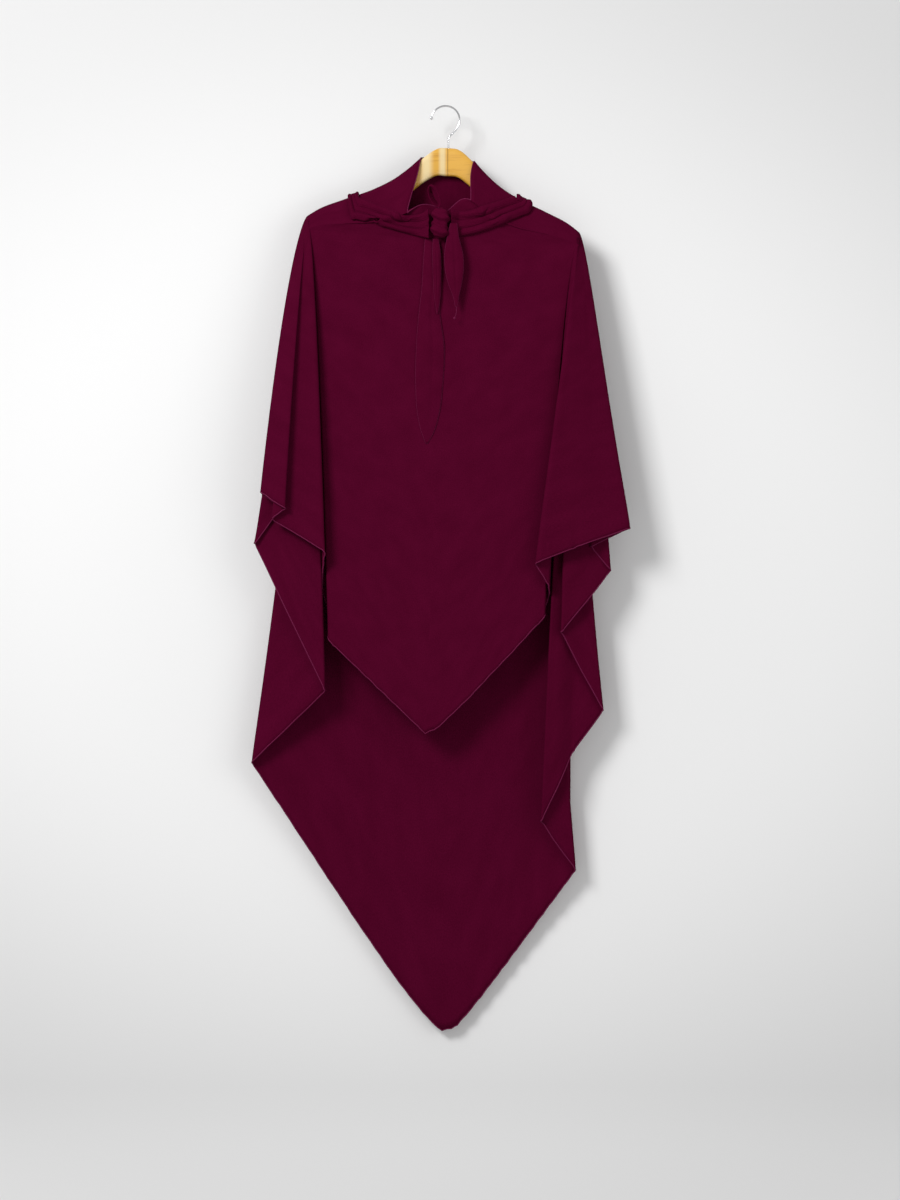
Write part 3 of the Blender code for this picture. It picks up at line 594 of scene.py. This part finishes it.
def knot_middle(cloth, veil, tie):
    across = tie.knot_x + tie.knot_width * np.linspace(-0.5, 0.5, 5)
    heights = tie.knot_z + tie.knot_height * np.linspace(-0.5, 0.0, 4)
    return min(seat_depth(cloth, across, z, tie.knot_depth, veil.wall) for z in heights)


def lifted_off(cloth, points, hanger, side, rest):
    """Moves the seat points that are nearer to the veil than they may rest, straight away from it."""
    clear = points.copy()
    for place in np.ndindex(points.shape[:2]):
        point = points[place]
        share = abs(point[0] - hanger.stem_offset) / (hanger.width / 2)
        _, arm_y, arm_z = arm_line(hanger, side, share)
        away = np.array([0.0, point[1] - arm_y, max(point[2] - arm_z + hanger.thickness / 2, 0.0)])
        for _ in range(3):
            near, normal, _, _ = cloth.find_nearest(tuple(clear[place]))
            outward = np.array(normal) * (1.0 if np.dot(normal, away) > 0 else -1.0)
            clear[place] += outward * max(rest - np.dot(clear[place] - np.array(near), outward), 0.0)
    return clear


def strap_grid(veil, hanger, tie, side, rows, span, rise, cloth):
    """The seat of a tie from the knot over the veil's shoulder, then its pleats stood out along the normals.

    A pleat is a power of a sine across the band and drifts on its way; creases are deepest at the knot.
    """
    across = np.linspace(0, 1, 2 * PLEATS + 1)
    along = np.linspace(0, 1, TIE_ROWS)
    rest = veil.wall / 2 + tie.wall / 2 + tie.ease
    upper_x, upper_z, lower_x, lower_z = (curve_through(rows, k, along)[:, None] for k in (1, 2, 3, 4))
    x = tie.knot_x + side * span * (upper_x + (lower_x - upper_x) * across)
    z = tie.knot_z + rise * (upper_z + (lower_z - upper_z) * across)
    y = np.empty_like(x)
    start = knot_middle(cloth, veil, tie)
    for k in range(len(across)):
        found = [front_of(cloth, *place) for place in zip(x[:, k], z[:, k])]
        lies = [row for row, depth in enumerate(found) if depth is not None and row > 1]
        y[:, k] = np.interp(range(len(along)), [0] + lies, [start] + [found[row] - rest for row in lies])
    radius = hanger.thickness / 2 + veil.arm_ease + rest + veil.wall / 2
    last = rows[-1]
    top_x = tie.knot_x + side * span * (last[1] + 0.04 + (last[3] - last[1]) * across)
    _, arm_y, arm_z = arm_line(hanger, side, np.abs(top_x - hanger.stem_offset) / (hanger.width / 2))
    turns = np.radians(np.linspace(-60, 90, TIE_OVER_ROWS))[:, None]
    over_y = arm_y + radius * np.sin(turns)
    over_z = arm_z - hanger.thickness / 2 + radius * np.cos(turns)
    over = np.stack([np.broadcast_to(top_x, over_y.shape), over_y, over_z], -1)
    end = over[-1] + np.array([0.0, veil.leg_spread, -1.0]) * tie.back_leg
    seat = np.concatenate([np.stack([x, y, z], -1), over, end[None]])
    seat = lifted_off(cloth, seat, hanger, side, rest)
    rows, columns = TIE_FINE
    fine = refined(refined(seat, rows).transpose(1, 0, 2), columns).transpose(1, 0, 2)
    way = np.linspace(0, 1, rows)[:, None]
    place = np.linspace(0, 1, columns)[None, :]
    out = grid_normals(fine) * -side
    drift = 0.045 * np.sin(2 * math.pi * place + 1.5 + 2.1 * way) + 0.02 * np.sin(9 * way + 4 * place)
    turn = math.pi * PLEATS * (place + drift * np.sin(math.pi * place))
    pleat = np.abs(np.sin(turn)) ** 0.8 * (0.95 + 0.45 * np.sin(turn * 0.7 + 0.8 + 1.5 * way))
    ends = 0.40 + 0.60 * np.sin(math.pi * np.clip(way * 1.25, 0, 1))
    creases = 0.5 * np.sin(41 * place + 6 * way + 2 * np.sin(5 * way)) + 0.5 * np.sin(67 * place - 8 * way)
    creases = np.abs(creases) * (0.45 + 0.55 * np.exp(-5 * way))
    lift = tie.pleat * pleat * ends * np.clip(3.2 * (1 - way), 0.25, 1) * 1.25 + 0.0016 * creases
    return fine + out * lift[..., None]


def knot_grid(veil, tie, cloth):
    """A rounded block, its reach cut by slanting grooves where the band is wound round."""
    turn = np.linspace(0, 2 * math.pi, KNOT_FINE[1], endpoint=False)[None, :]
    rise = np.radians(np.linspace(-86, 86, KNOT_FINE[0]))[:, None]
    cos, sin = np.cos(turn), np.sin(turn)
    square = (np.abs(cos) ** 3 + np.abs(sin) ** 3) ** (-1 / 3)
    level = (np.abs(np.cos(rise)) ** 3 + np.abs(np.sin(rise)) ** 3) ** (-1 / 3)
    slant = rise * 2.6 + 0.55 * np.cos(turn + 0.4)
    wind = np.abs(np.sin(slant)) ** 0.6
    crease = np.sin(13 * rise + 2.2 * np.cos(turn) + 0.8 * np.sin(3 * turn)) * 0.5
    groove = 1.03 - 2.2 * tie.knot_groove / (tie.knot_depth / 2) * (1 - wind + 0.5 * crease * np.cos(rise))
    reach = np.cos(rise) * level * groove
    x = tie.knot_x + tie.knot_width / 2 * cos * square * reach
    y = knot_middle(cloth, veil, tie) + tie.knot_depth / 2 * sin * square * reach
    z = tie.knot_z + tie.knot_height / 2 * np.sin(rise) * level + 0 * x
    return np.stack([x, y, z], -1)[::-1]


def loop_grid(veil, tie, cloth):
    """A closed band: half a sine wide, a cosine high, leaning as it rises and narrower at the back."""
    turn = np.linspace(0, 2 * math.pi, LOOP_FINE[0], endpoint=False)[:, None]
    height = (1 - np.cos(turn)) / 2
    across = np.linspace(-0.5, 0.5, LOOP_FINE[1])[None, :]
    curl = 0.0012 * (2 * across) ** 2 - 0.0004 * np.sin(14 * across + 3 * turn)
    foot = tie.knot_z + tie.knot_height / 2 + GAP + tie.wall / 2
    cone = 0.0078 * (across + 0.5) - 0.0022
    width = tie.loop_width / 2 - curl - cone
    x = tie.knot_x - tie.loop_width / 4 + width * np.sin(turn) - tie.loop_lean * height
    y = knot_middle(cloth, veil, tie) + tie.loop_band * across * (0.75 + 0.25 * height) + 0 * turn
    z = foot + np.maximum(cone, 0) + (tie.loop_height - 2 * curl - 2 * cone) * height
    return np.stack([x, y, z], -1)


def tail_grid(veil, tie, rows, size, width, centre_x, top_z, layer, cloth, crease):
    """A leaf-shaped band that hangs plumb: a swell across, a crease down it, a small wave at its edges."""
    down = np.linspace(0, 1, 2 * len(rows) - 1)
    spots = [centre_x + curve_through(rows, k, down) * width for k in (1, 2)]
    seats = [seat_depth(cloth, pair, top_z - size * t, tie.wall, veil.wall) for *pair, t in zip(*spots, down)]
    depth = min(seats) - layer * tie.tail_layer
    down = np.linspace(0, 1, TAIL_FINE[0])[:, None]
    across = np.linspace(0, 1, TAIL_FINE[1])[None, :]
    left, right = (curve_through(rows, k, down[:, 0])[:, None] * width for k in (1, 2))
    x = centre_x + left + (right - left) * across
    z = top_z - size * down + 0 * across
    body = np.sin(math.pi * np.clip(down, 0.04, 0.96))
    swell = tie.tail_swell * np.sin(math.pi * across) ** 0.8 * body
    fold = 0.0011 * np.exp(-(((across - crease) / 0.09) ** 2)) * body
    edge = 0.0007 * (2 * across - 1) ** 2 * np.sin(17 * down + 3 * across)
    return np.stack([x, depth - swell + fold + edge * body, z], -1)


def shade(name):
    material = bpy.data.materials.new(name)
    material.use_nodes = True
    return material, material.node_tree, material.node_tree.nodes["Principled BSDF"]


def put(tree, socket, value):
    """Gives an input a link or a value."""
    if isinstance(value, bpy.types.NodeSocket):
        tree.links.new(value, socket)
    else:
        socket.default_value = value


def give(tree, shader, **values):
    """Gives inputs of a shader links or values, by their names."""
    for key, value in values.items():
        put(tree, shader.inputs[key.replace("_", " ")], value)


def node(tree, kind, *places, out=0, **values):
    """An output of a new node. Names in small letters are settings, all else is its inputs."""
    made = tree.nodes.new(kind)
    for key, value in values.items():
        if key.islower():
            setattr(made, key, value)
    for socket, value in zip(made.inputs, places):
        put(tree, socket, value)
    give(tree, made, **{key: value for key, value in values.items() if not key.islower()})
    return made.outputs[out]


def sum_of(tree, operation, *values):
    return node(tree, "ShaderNodeMath", *values, operation=operation)


def mapped(tree, value, low, high, to_low=0.0, to_high=1.0, kind="LINEAR"):
    return node(tree, "ShaderNodeMapRange", value, low, high, to_low, to_high, interpolation_type=kind)


def blend(tree, factor, low, high):
    """A colour between two that are each a link or three values."""
    low, high = (c if isinstance(c, bpy.types.NodeSocket) else (*c, 1) for c in (low, high))
    return node(tree, "ShaderNodeMix", out="Result", data_type="RGBA", Factor=factor, A=low, B=high)


def bumped(tree, height, strength, distance):
    return node(tree, "ShaderNodeBump", Strength=strength, Distance=distance, Height=height)


def crepe_group():
    """Crepe: fine twisted grain in two noises and a thread lattice, given as a height and a tone."""
    group = bpy.data.node_groups.new("crepe_grain", "ShaderNodeTree")
    socket = group.interface.new_socket
    socket("Place", in_out="INPUT", socket_type="NodeSocketVector")
    socket("Threads", in_out="INPUT", socket_type="NodeSocketFloat").default_value = 1400.0
    socket("Height", in_out="OUTPUT", socket_type="NodeSocketFloat")
    socket("Tone", in_out="OUTPUT", socket_type="NodeSocketFloat")
    source = group.nodes.new("NodeGroupInput").outputs
    sink = group.nodes.new("NodeGroupOutput")
    place = source["Place"]
    fine = node(group, "ShaderNodeTexNoise", Vector=place, Scale=620.0, Detail=3.0, Roughness=0.6)
    broad = node(group, "ShaderNodeTexNoise", Vector=place, Scale=26.0, Detail=3.0, Roughness=0.55)
    pebble = node(group, "ShaderNodeTexVoronoi", out="Distance", Vector=place, Scale=520.0)
    waves = []
    for axis in ("X", "Y"):
        across = node(group, "ShaderNodeSeparateXYZ", place, out=axis)
        waves.append(sum_of(group, "SINE", sum_of(group, "MULTIPLY", across, source["Threads"])))
    grain = sum_of(group, "MULTIPLY_ADD", pebble, 0.55, fine)
    height = sum_of(group, "MULTIPLY_ADD", sum_of(group, "MULTIPLY", *waves), 0.12, grain)
    tone = mapped(group, sum_of(group, "MULTIPLY_ADD", broad, 0.5, fine), 0.52, 0.98)
    give(group, sink, Height=height, Tone=tone)
    return group


def crepe_material(name, finish):
    """Matte burgundy crepe with a soft sheen."""
    material, tree, shader = shade(name)
    group = bpy.data.node_groups.get("crepe_grain") or crepe_group()
    uv = node(tree, "ShaderNodeUVMap", uv_map="cloth")
    tone = node(tree, "ShaderNodeGroup", out="Tone", node_tree=group, Place=uv)
    give(
        tree,
        shader,
        Base_Color=blend(tree, tone, finish.cloth, finish.cloth_light),
        Normal=bumped(tree, tone.node.outputs["Height"], 0.45, 0.0006),
        Roughness=0.82,
        Specular_IOR_Level=0.02,
        Sheen_Weight=0.05,
        Sheen_Roughness=0.45,
        Sheen_Tint=(1.0, 0.05, 0.32, 1),
    )
    return material


def thread_material(finish):
    """Overlock thread: slanting wraps along the edge."""
    material, tree, shader = shade("overlock thread")
    uv = node(tree, "ShaderNodeUVMap", uv_map="cloth")
    wraps = {"bands_direction": "DIAGONAL", "Scale": 260.0, "Distortion": 1.5, "Detail": 1.0}
    wave = node(tree, "ShaderNodeTexWave", out="Fac", Vector=uv, **wraps)
    tint = blend(tree, wave, finish.cloth_light, finish.thread)
    give(tree, shader, Base_Color=tint, Normal=bumped(tree, wave, 0.7, 0.0005))
    give(tree, shader, Roughness=0.7, Specular_IOR_Level=0.06)
    return material


def near_x(tree, x, centre, inner, outer, strength):
    """A mask that is full up to the inner distance from a place along x and fades out to the outer one."""
    off = sum_of(tree, "ABSOLUTE", sum_of(tree, "SUBTRACT", x, centre))
    return mapped(tree, off, inner, outer, strength, 0.0, "SMOOTHSTEP")


def wood_material(finish, hanger):
    """Lacquered wood: long fine grain, two pale streaks that are painted highlights, a joint line down the
    middle and a clear coat.
    """
    material, tree, shader = shade("lacquered wood")
    place = node(tree, "ShaderNodeTexCoord", out="Object")
    turn = (0.0, -hanger.tilt, 0.0)
    lay = node(tree, "ShaderNodeMapping", Vector=place, Scale=(9.0, 120.0, 120.0), Rotation=turn)
    grain = node(tree, "ShaderNodeTexNoise", Vector=lay, Scale=1.6, Detail=6.0, Roughness=0.6, Distortion=0.6)
    tint = blend(tree, mapped(tree, grain, 0.50, 0.80), finish.wood, finish.wood_dark)
    x = node(tree, "ShaderNodeSeparateXYZ", place, out="X")
    middle = hanger.stem_offset - 0.0012
    # The first two bands are painted highlights, pale streaks where light reflects on the lacquer; the third
    # is the wood's dark joint line.
    bands = (
        (middle - 0.0360, 0.0020, 0.0150, 0.85, finish.wood_painted_highlight),
        (middle - 0.0090, 0.0015, 0.0085, 0.80, finish.wood_painted_highlight),
        (middle, 0.0003, 0.0007, 0.75, (0.10, 0.035, 0.008)),
    )
    for centre, inner, outer, strength, shown in bands:
        tint = blend(tree, near_x(tree, x, centre, inner, outer, strength), tint, shown)
    give(tree, shader, Base_Color=tint, Normal=bumped(tree, grain, 0.15, 0.0004))
    give(tree, shader, Roughness=0.32, Coat_Weight=1.0, Coat_Roughness=0.06)
    return material


def chrome_material(finish):
    """Chrome wire with faint rub marks."""
    material, tree, shader = shade("chrome wire")
    place = node(tree, "ShaderNodeTexCoord", out="Object")
    rub = node(tree, "ShaderNodeTexNoise", Vector=place, Scale=420.0, Detail=4.0)
    give(tree, shader, Base_Color=(*finish.metal, 1), Metallic=1.0)
    give(tree, shader, Roughness=mapped(tree, rub, 0.0, 1.0, 0.05, 0.22))
    return material


def wall_material(finish):
    """Matte pale wall, with painted shade that makes it darker with the distance from its middle.

    It lets the view through from behind, and soft light through to the back of the cloth.
    """
    material, tree, shader = shade("pale wall")
    place = node(tree, "ShaderNodeTexCoord", out="Object")
    lay = node(tree, "ShaderNodeMapping", Vector=place, Location=(0.0, 0.0, 0.78), Scale=(0.75, 0.0, 1.0))
    away = node(tree, "ShaderNodeVectorMath", lay, out="Value", operation="LENGTH")
    # Painted shade: the wall's colour drops to 0.8 of itself away from its middle, where less light falls.
    painted_shade = mapped(tree, away, 0.45, 1.15, kind="SMOOTHSTEP")
    plaster = node(tree, "ShaderNodeTexNoise", Vector=place, Scale=90.0, Detail=4.0)
    tint = blend(tree, painted_shade, finish.wall, [0.80 * c for c in finish.wall])
    give(tree, shader, Base_Color=tint, Normal=bumped(tree, plaster, 0.08, 0.001))
    give(tree, shader, Roughness=0.9, Specular_IOR_Level=0.1)
    behind = node(tree, "ShaderNodeNewGeometry", out="Backfacing")
    soft = node(tree, "ShaderNodeLightPath", out="Is Diffuse Ray")
    clear = node(tree, "ShaderNodeBsdfTransparent")
    mixed = node(tree, "ShaderNodeMixShader", sum_of(tree, "MAXIMUM", behind, soft), shader.outputs[0], clear)
    give(tree, tree.nodes["Material Output"], Surface=mixed)
    return material


def dress(obj, material):
    obj.data.materials.clear()
    obj.data.materials.append(material)
    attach(obj, "root")
    return obj


def groups():
    scene = bpy.context.scene
    return scene.khimar_veil, scene.khimar_tie, scene.khimar_hanger, scene.khimar_finish


def sheet_area(grid):
    """Area of a grid: half the length of the cross product of each quad's diagonals."""
    one = grid[1:, 1:] - grid[:-1, :-1]
    other = grid[1:, :-1] - grid[:-1, 1:]
    return float(np.linalg.norm(np.cross(one, other), axis=-1).sum() / 2)


class KhimarMakeVeil(bpy.types.Operator):
    """Makes the veil: one tube of crepe from the face opening over the arms to the pointed hems"""

    bl_idname = "khimar.make_veil"
    bl_label = "Veil"

    def execute(self, context):
        veil, _, hanger, finish = groups()
        grid = veil_grid(veil, hanger)
        obj = surface("veil_cloth", grid, flat_uv(grid, round_columns=True), round_columns=True)
        walled(obj, veil.wall)
        dress(obj, crepe_material("crepe", finish))
        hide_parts("veil")
        above = np.array([0, 0, veil.hem_radius * 0.3])
        hem = tube("veil_hem", grid[-1] + above, veil.hem_radius, 8, closed=True)
        edge = tube("veil_face_edge", grid[0], veil.hem_radius * 0.8, 8, closed=True)
        thread = thread_material(finish)
        for piece in (hem, edge):
            dress(piece, thread)
        round_grid = np.concatenate([grid, grid[:, :1]], axis=1)
        print("veil area", round(sheet_area(round_grid), 3))
        return {"FINISHED"}


class KhimarMakeTies(bpy.types.Operator):
    """Makes the two pleated ties, their knot, loop and three free ends"""

    bl_idname = "khimar.make_ties"
    bl_label = "Ties"

    def execute(self, context):
        veil, tie, hanger, finish = groups()
        cloth = cloth_tree(veil_grid(veil, hanger))
        crepe = crepe_material("tie crepe", finish)
        thread = bpy.data.materials.get("overlock thread") or thread_material(finish)
        bands = (
            ("left", -1, LEFT_TIE_ROWS, tie.left_span, tie.left_rise),
            ("right", 1, RIGHT_TIE_ROWS, tie.right_span, tie.right_rise),
        )
        for name, side, rows, span, rise in bands:
            grid = strap_grid(veil, hanger, tie, side, rows, span, rise, cloth)
            self.sheet(f"tie_band_{name}", grid, crepe, thread, f"tie_{name}", tie, ["veil_cloth"])
        knot = knot_grid(veil, tie, cloth)
        uv = flat_uv(knot, round_columns=True)
        obj = surface("tie_knot_wound", knot, uv, round_columns=True, caps=True)
        dress(obj, crepe)
        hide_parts("tie_knot")
        loop = loop_grid(veil, tie, cloth)
        ring = surface("tie_loop_band", loop, flat_uv(loop, round_rows=True), round_rows=True)
        walled(ring, tie.wall)
        dress(ring, crepe)
        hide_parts("tie_loop")
        closed = np.concatenate([loop, loop[:1]])
        self.declare(ring, closed, ["tie_knot_wound"], [])
        under = tie.knot_z - tie.knot_height / 2 - GAP - tie.wall / 2
        beside = tie.knot_z - tie.wall
        tails = (
            ("long", LONG_TAIL_ROWS, tie.long_tail, tie.long_width, tie.long_x, under, 0, 0.60),
            ("middle", MIDDLE_TAIL_ROWS, tie.middle_tail, tie.middle_width, tie.middle_x, under, 1, 0.45),
            ("short", SHORT_TAIL_ROWS, tie.short_tail, tie.short_width, tie.short_x, beside, 3, 0.55),
        )
        for name, rows, size, width, centre_x, top_z, layer, crease in tails:
            grid = tail_grid(veil, tie, rows, size, width, centre_x, top_z, layer, cloth, crease)
            self.sheet(f"tie_tail_{name}", grid, crepe, thread, f"tail_{name}", tie, ["tie_knot_wound"])
        return {"FINISHED"}

    def sheet(self, name, grid, crepe, thread, cad_node, tie, rests_on):
        obj = surface(name, grid, flat_uv(grid))
        walled(obj, tie.wall)
        dress(obj, crepe)
        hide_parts(cad_node)
        pieces = []
        if rests_on == ["tie_knot_wound"]:
            rim = np.concatenate([grid[:, 0], grid[-1, 1:-1], grid[::-1, -1]])
            pieces.append(tube(name + "_edge", rim, tie.wall * 0.55, 6))
            dress(pieces[0], thread)
        if name.endswith("short"):
            pieces.append(self.loose_thread(grid[-1].mean(axis=0), cad_node, thread, tie))
        self.declare(obj, grid, rests_on, pieces)

    def loose_thread(self, start, cad_node, thread, tie):
        """A thread end below the tip, slightly bowed, with a small knot in it."""
        t = np.linspace(0, 1, 30)
        aside = -0.004 * t + 0.002 * np.sin(3 * t)
        path = start + np.stack([aside, -0.0008 * np.sin(math.pi * t), -tie.thread_end * t], -1)
        radius = 0.0006 + 0.0018 * np.exp(-(((t - 0.93) / 0.07) ** 2))
        piece = tube("tie_loose_thread", path, radius, 10)
        dress(piece, thread)
        return piece

    def declare(self, obj, grid, rests_on, with_pieces):
        """Does nothing with the piece."""


class KhimarMakeHanger(bpy.types.Operator):
    """Makes the lacquered wooden arms and the chrome hook"""

    bl_idname = "khimar.make_hanger"
    bl_label = "Coat hanger"

    def execute(self, context):
        _, _, hanger, finish = groups()
        self.wood(hanger, finish)
        self.hook(hanger, finish)
        return {"FINISHED"}

    def wood(self, hanger, finish):
        """Sections along both arms: straight sides with a rounded top and bottom, lower towards the ends."""
        out = np.linspace(-1, 1, ARM_FINE[0])
        share = np.abs(out)
        top = -hanger.drop * curve_through(ARM_TOP, 1, share)
        height = hanger.height + (hanger.tip_height - hanger.height) * share**1.3
        half = hanger.thickness / 2
        turn = np.linspace(0, 2 * math.pi, ARM_FINE[1], endpoint=False)
        round_up = np.sign(np.cos(turn)) * np.abs(np.cos(turn)) ** 0.5
        up = round_up[None, :] * (height / 2)[:, None]
        across = half * np.sign(np.sin(turn)) * np.abs(np.sin(turn)) ** 0.75
        x, z = tilted(hanger, out[:, None] * hanger.width / 2 + 0 * up, (top - height / 2)[:, None] + up)
        y = across[None, :] - (hanger.sweep * share)[:, None]
        points = np.stack([x, y, z], -1)
        uv = flat_uv(points, round_columns=True)
        obj = surface("hanger_arms", points, uv, round_columns=True, caps=True)
        dress(obj, wood_material(finish, hanger))
        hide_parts("hanger_wood")

    def hook(self, hanger, finish):
        """A wire: an arc over the hanging point, a slanting run, then the stem; its tip swells to a ball."""
        centre_z = hanger.wire / 2 - hanger.hook_radius
        angles = np.radians(np.linspace(172, -42, HOOK_ROWS))
        arc = hanger.hook_radius * np.stack([np.cos(angles), np.sin(angles)], -1) + (0.0, centre_z)
        stem_top = -hanger.hook_height + hanger.stem
        offset = hanger.stem_offset
        run = np.array([[offset, stem_top - 0.001], [offset, stem_top - 0.006]])
        bend = arc[-1] + (np.array([offset, stem_top]) - arc[-1]) * np.array([[0.45], [0.85]])
        low = -hanger.hook_height - np.array([0.004, hanger.stem_depth])
        low = np.stack([np.full(2, offset), low], -1)
        tail = refined(np.concatenate([arc[-2:], bend, run]), 40)[8:]
        flat = np.concatenate([arc, tail, low])
        path = np.stack([flat[:, 0], 0 * flat[:, 0], flat[:, 1]], -1)
        step = path[0] - path[1]
        ball = hanger.ball / 2
        lead = path[0] + unit(step) * ball * np.cos(np.linspace(0.12, math.pi, 14))[:, None]
        size = ball * np.sin(np.linspace(0.12, math.pi, 14))
        keep = size > hanger.wire / 2 * 0.98
        keep[:7] = True
        path = np.concatenate([lead[keep], path[3:]])
        radius = np.concatenate([size[keep], np.full(len(path) - keep.sum(), hanger.wire / 2)])
        obj = tube("hanger_hook_wire", path, radius, 20)
        dress(obj, chrome_material(finish))
        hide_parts("hanger_hook")


class KhimarMakeStage(bpy.types.Operator):
    """Makes the camera, the pale wall and floor and the soft light"""

    bl_idname = "khimar.make_stage"
    bl_label = "Stage"

    def execute(self, context):
        finish = groups()[-1]
        camera = bpy.data.cameras.new("camera")
        view = bpy.data.objects.new("camera", camera)
        context.scene.collection.objects.link(view)
        context.scene.camera = view
        camera.lens = 36 * (finish.camera_distance - 0.03) / 2.0
        camera.clip_end = 50
        view.location = (0.0075, -finish.camera_distance, -0.8267)
        view.rotation_euler = (math.pi / 2, 0, 0)
        self.backdrop(finish)
        self.light("key", (-2.1, -3.0, 1.3), (0.0, 0.0, -0.75), 1.3, 112)
        self.light("fill", (2.6, -3.0, -0.3), (0.0, 0.0, -0.8), 2.4, 25)
        self.light("low", (0.0, -3.0, -2.4), (0.0, 0.0, -0.9), 2.0, 7)
        context.scene.view_settings.view_transform = "Standard"
        world = bpy.data.worlds.new("room")
        context.scene.world = world
        world.use_nodes = True
        world.node_tree.nodes["Background"].inputs[0].default_value = (1.0, 1.0, 1.0, 1)
        world.node_tree.nodes["Background"].inputs[1].default_value = 0.38
        return {"FINISHED"}

    def backdrop(self, finish):
        """A wall that turns into a floor in a quarter circle, carried straight across."""
        bend = 0.3
        turn = np.linspace(0, math.pi / 2, 12)
        y = np.concatenate([[finish.wall_depth], finish.wall_depth - bend * (1 - np.cos(turn)), [-4.5]])
        z = np.concatenate([[1.6], -finish.floor_drop + bend * (1 - np.sin(turn)), [-finish.floor_drop]])
        x = np.array([-3.0, 3.0])
        points = np.stack([np.broadcast_to(x, (len(y), 2)), y[:, None] + 0 * x, z[:, None] + 0 * x], -1)
        wall = surface("wall_and_floor", points, flat_uv(points))
        wall.data.materials.append(wall_material(finish))

    def light(self, name, place, aim, size, power):
        lamp = bpy.data.lights.new(name, "AREA")
        lamp.shape = "SQUARE"
        lamp.size = size
        lamp.energy = power
        obj = bpy.data.objects.new(name, lamp)
        obj.location = place
        obj.rotation_euler = (Vector(aim) - Vector(place)).to_track_quat("-Z", "Y").to_euler()
        bpy.context.scene.collection.objects.link(obj)


class KhimarPanel(bpy.types.Panel):
    """Sizes, colours and pieces of the khimar veil"""

    bl_idname = "VIEW3D_PT_khimar"
    bl_label = "Khimar veil"
    bl_space_type = "VIEW_3D"
    bl_region_type = "UI"
    bl_category = "Khimar"

    def draw(self, context):
        for operator in OPERATORS:
            self.layout.operator(operator.bl_idname)
        for group in groups():
            box = self.layout.box()
            for name in group.__annotations__:
                box.prop(group, name)


GROUPS = (
    ("khimar_veil", KhimarVeilSizes),
    ("khimar_tie", KhimarTieSizes),
    ("khimar_hanger", KhimarHangerSizes),
    ("khimar_finish", KhimarFinish),
)
OPERATORS = (KhimarMakeHanger, KhimarMakeVeil, KhimarMakeTies, KhimarMakeStage)


def register():
    for name, group in GROUPS:
        bpy.utils.register_class(group)
        setattr(bpy.types.Scene, name, PointerProperty(type=group))
    for kind in (*OPERATORS, KhimarPanel):
        bpy.utils.register_class(kind)


def unregister():
    for kind in (KhimarPanel, *OPERATORS[::-1]):
        bpy.utils.unregister_class(kind)
    for name, group in GROUPS[::-1]:
        delattr(bpy.types.Scene, name)
        bpy.utils.unregister_class(group)


def main():
    register()
    bpy.ops.khimar.make_hanger()
    bpy.ops.khimar.make_veil()
    bpy.ops.khimar.make_ties()
    bpy.ops.khimar.make_stage()


if __name__ == "__main__":
    main()
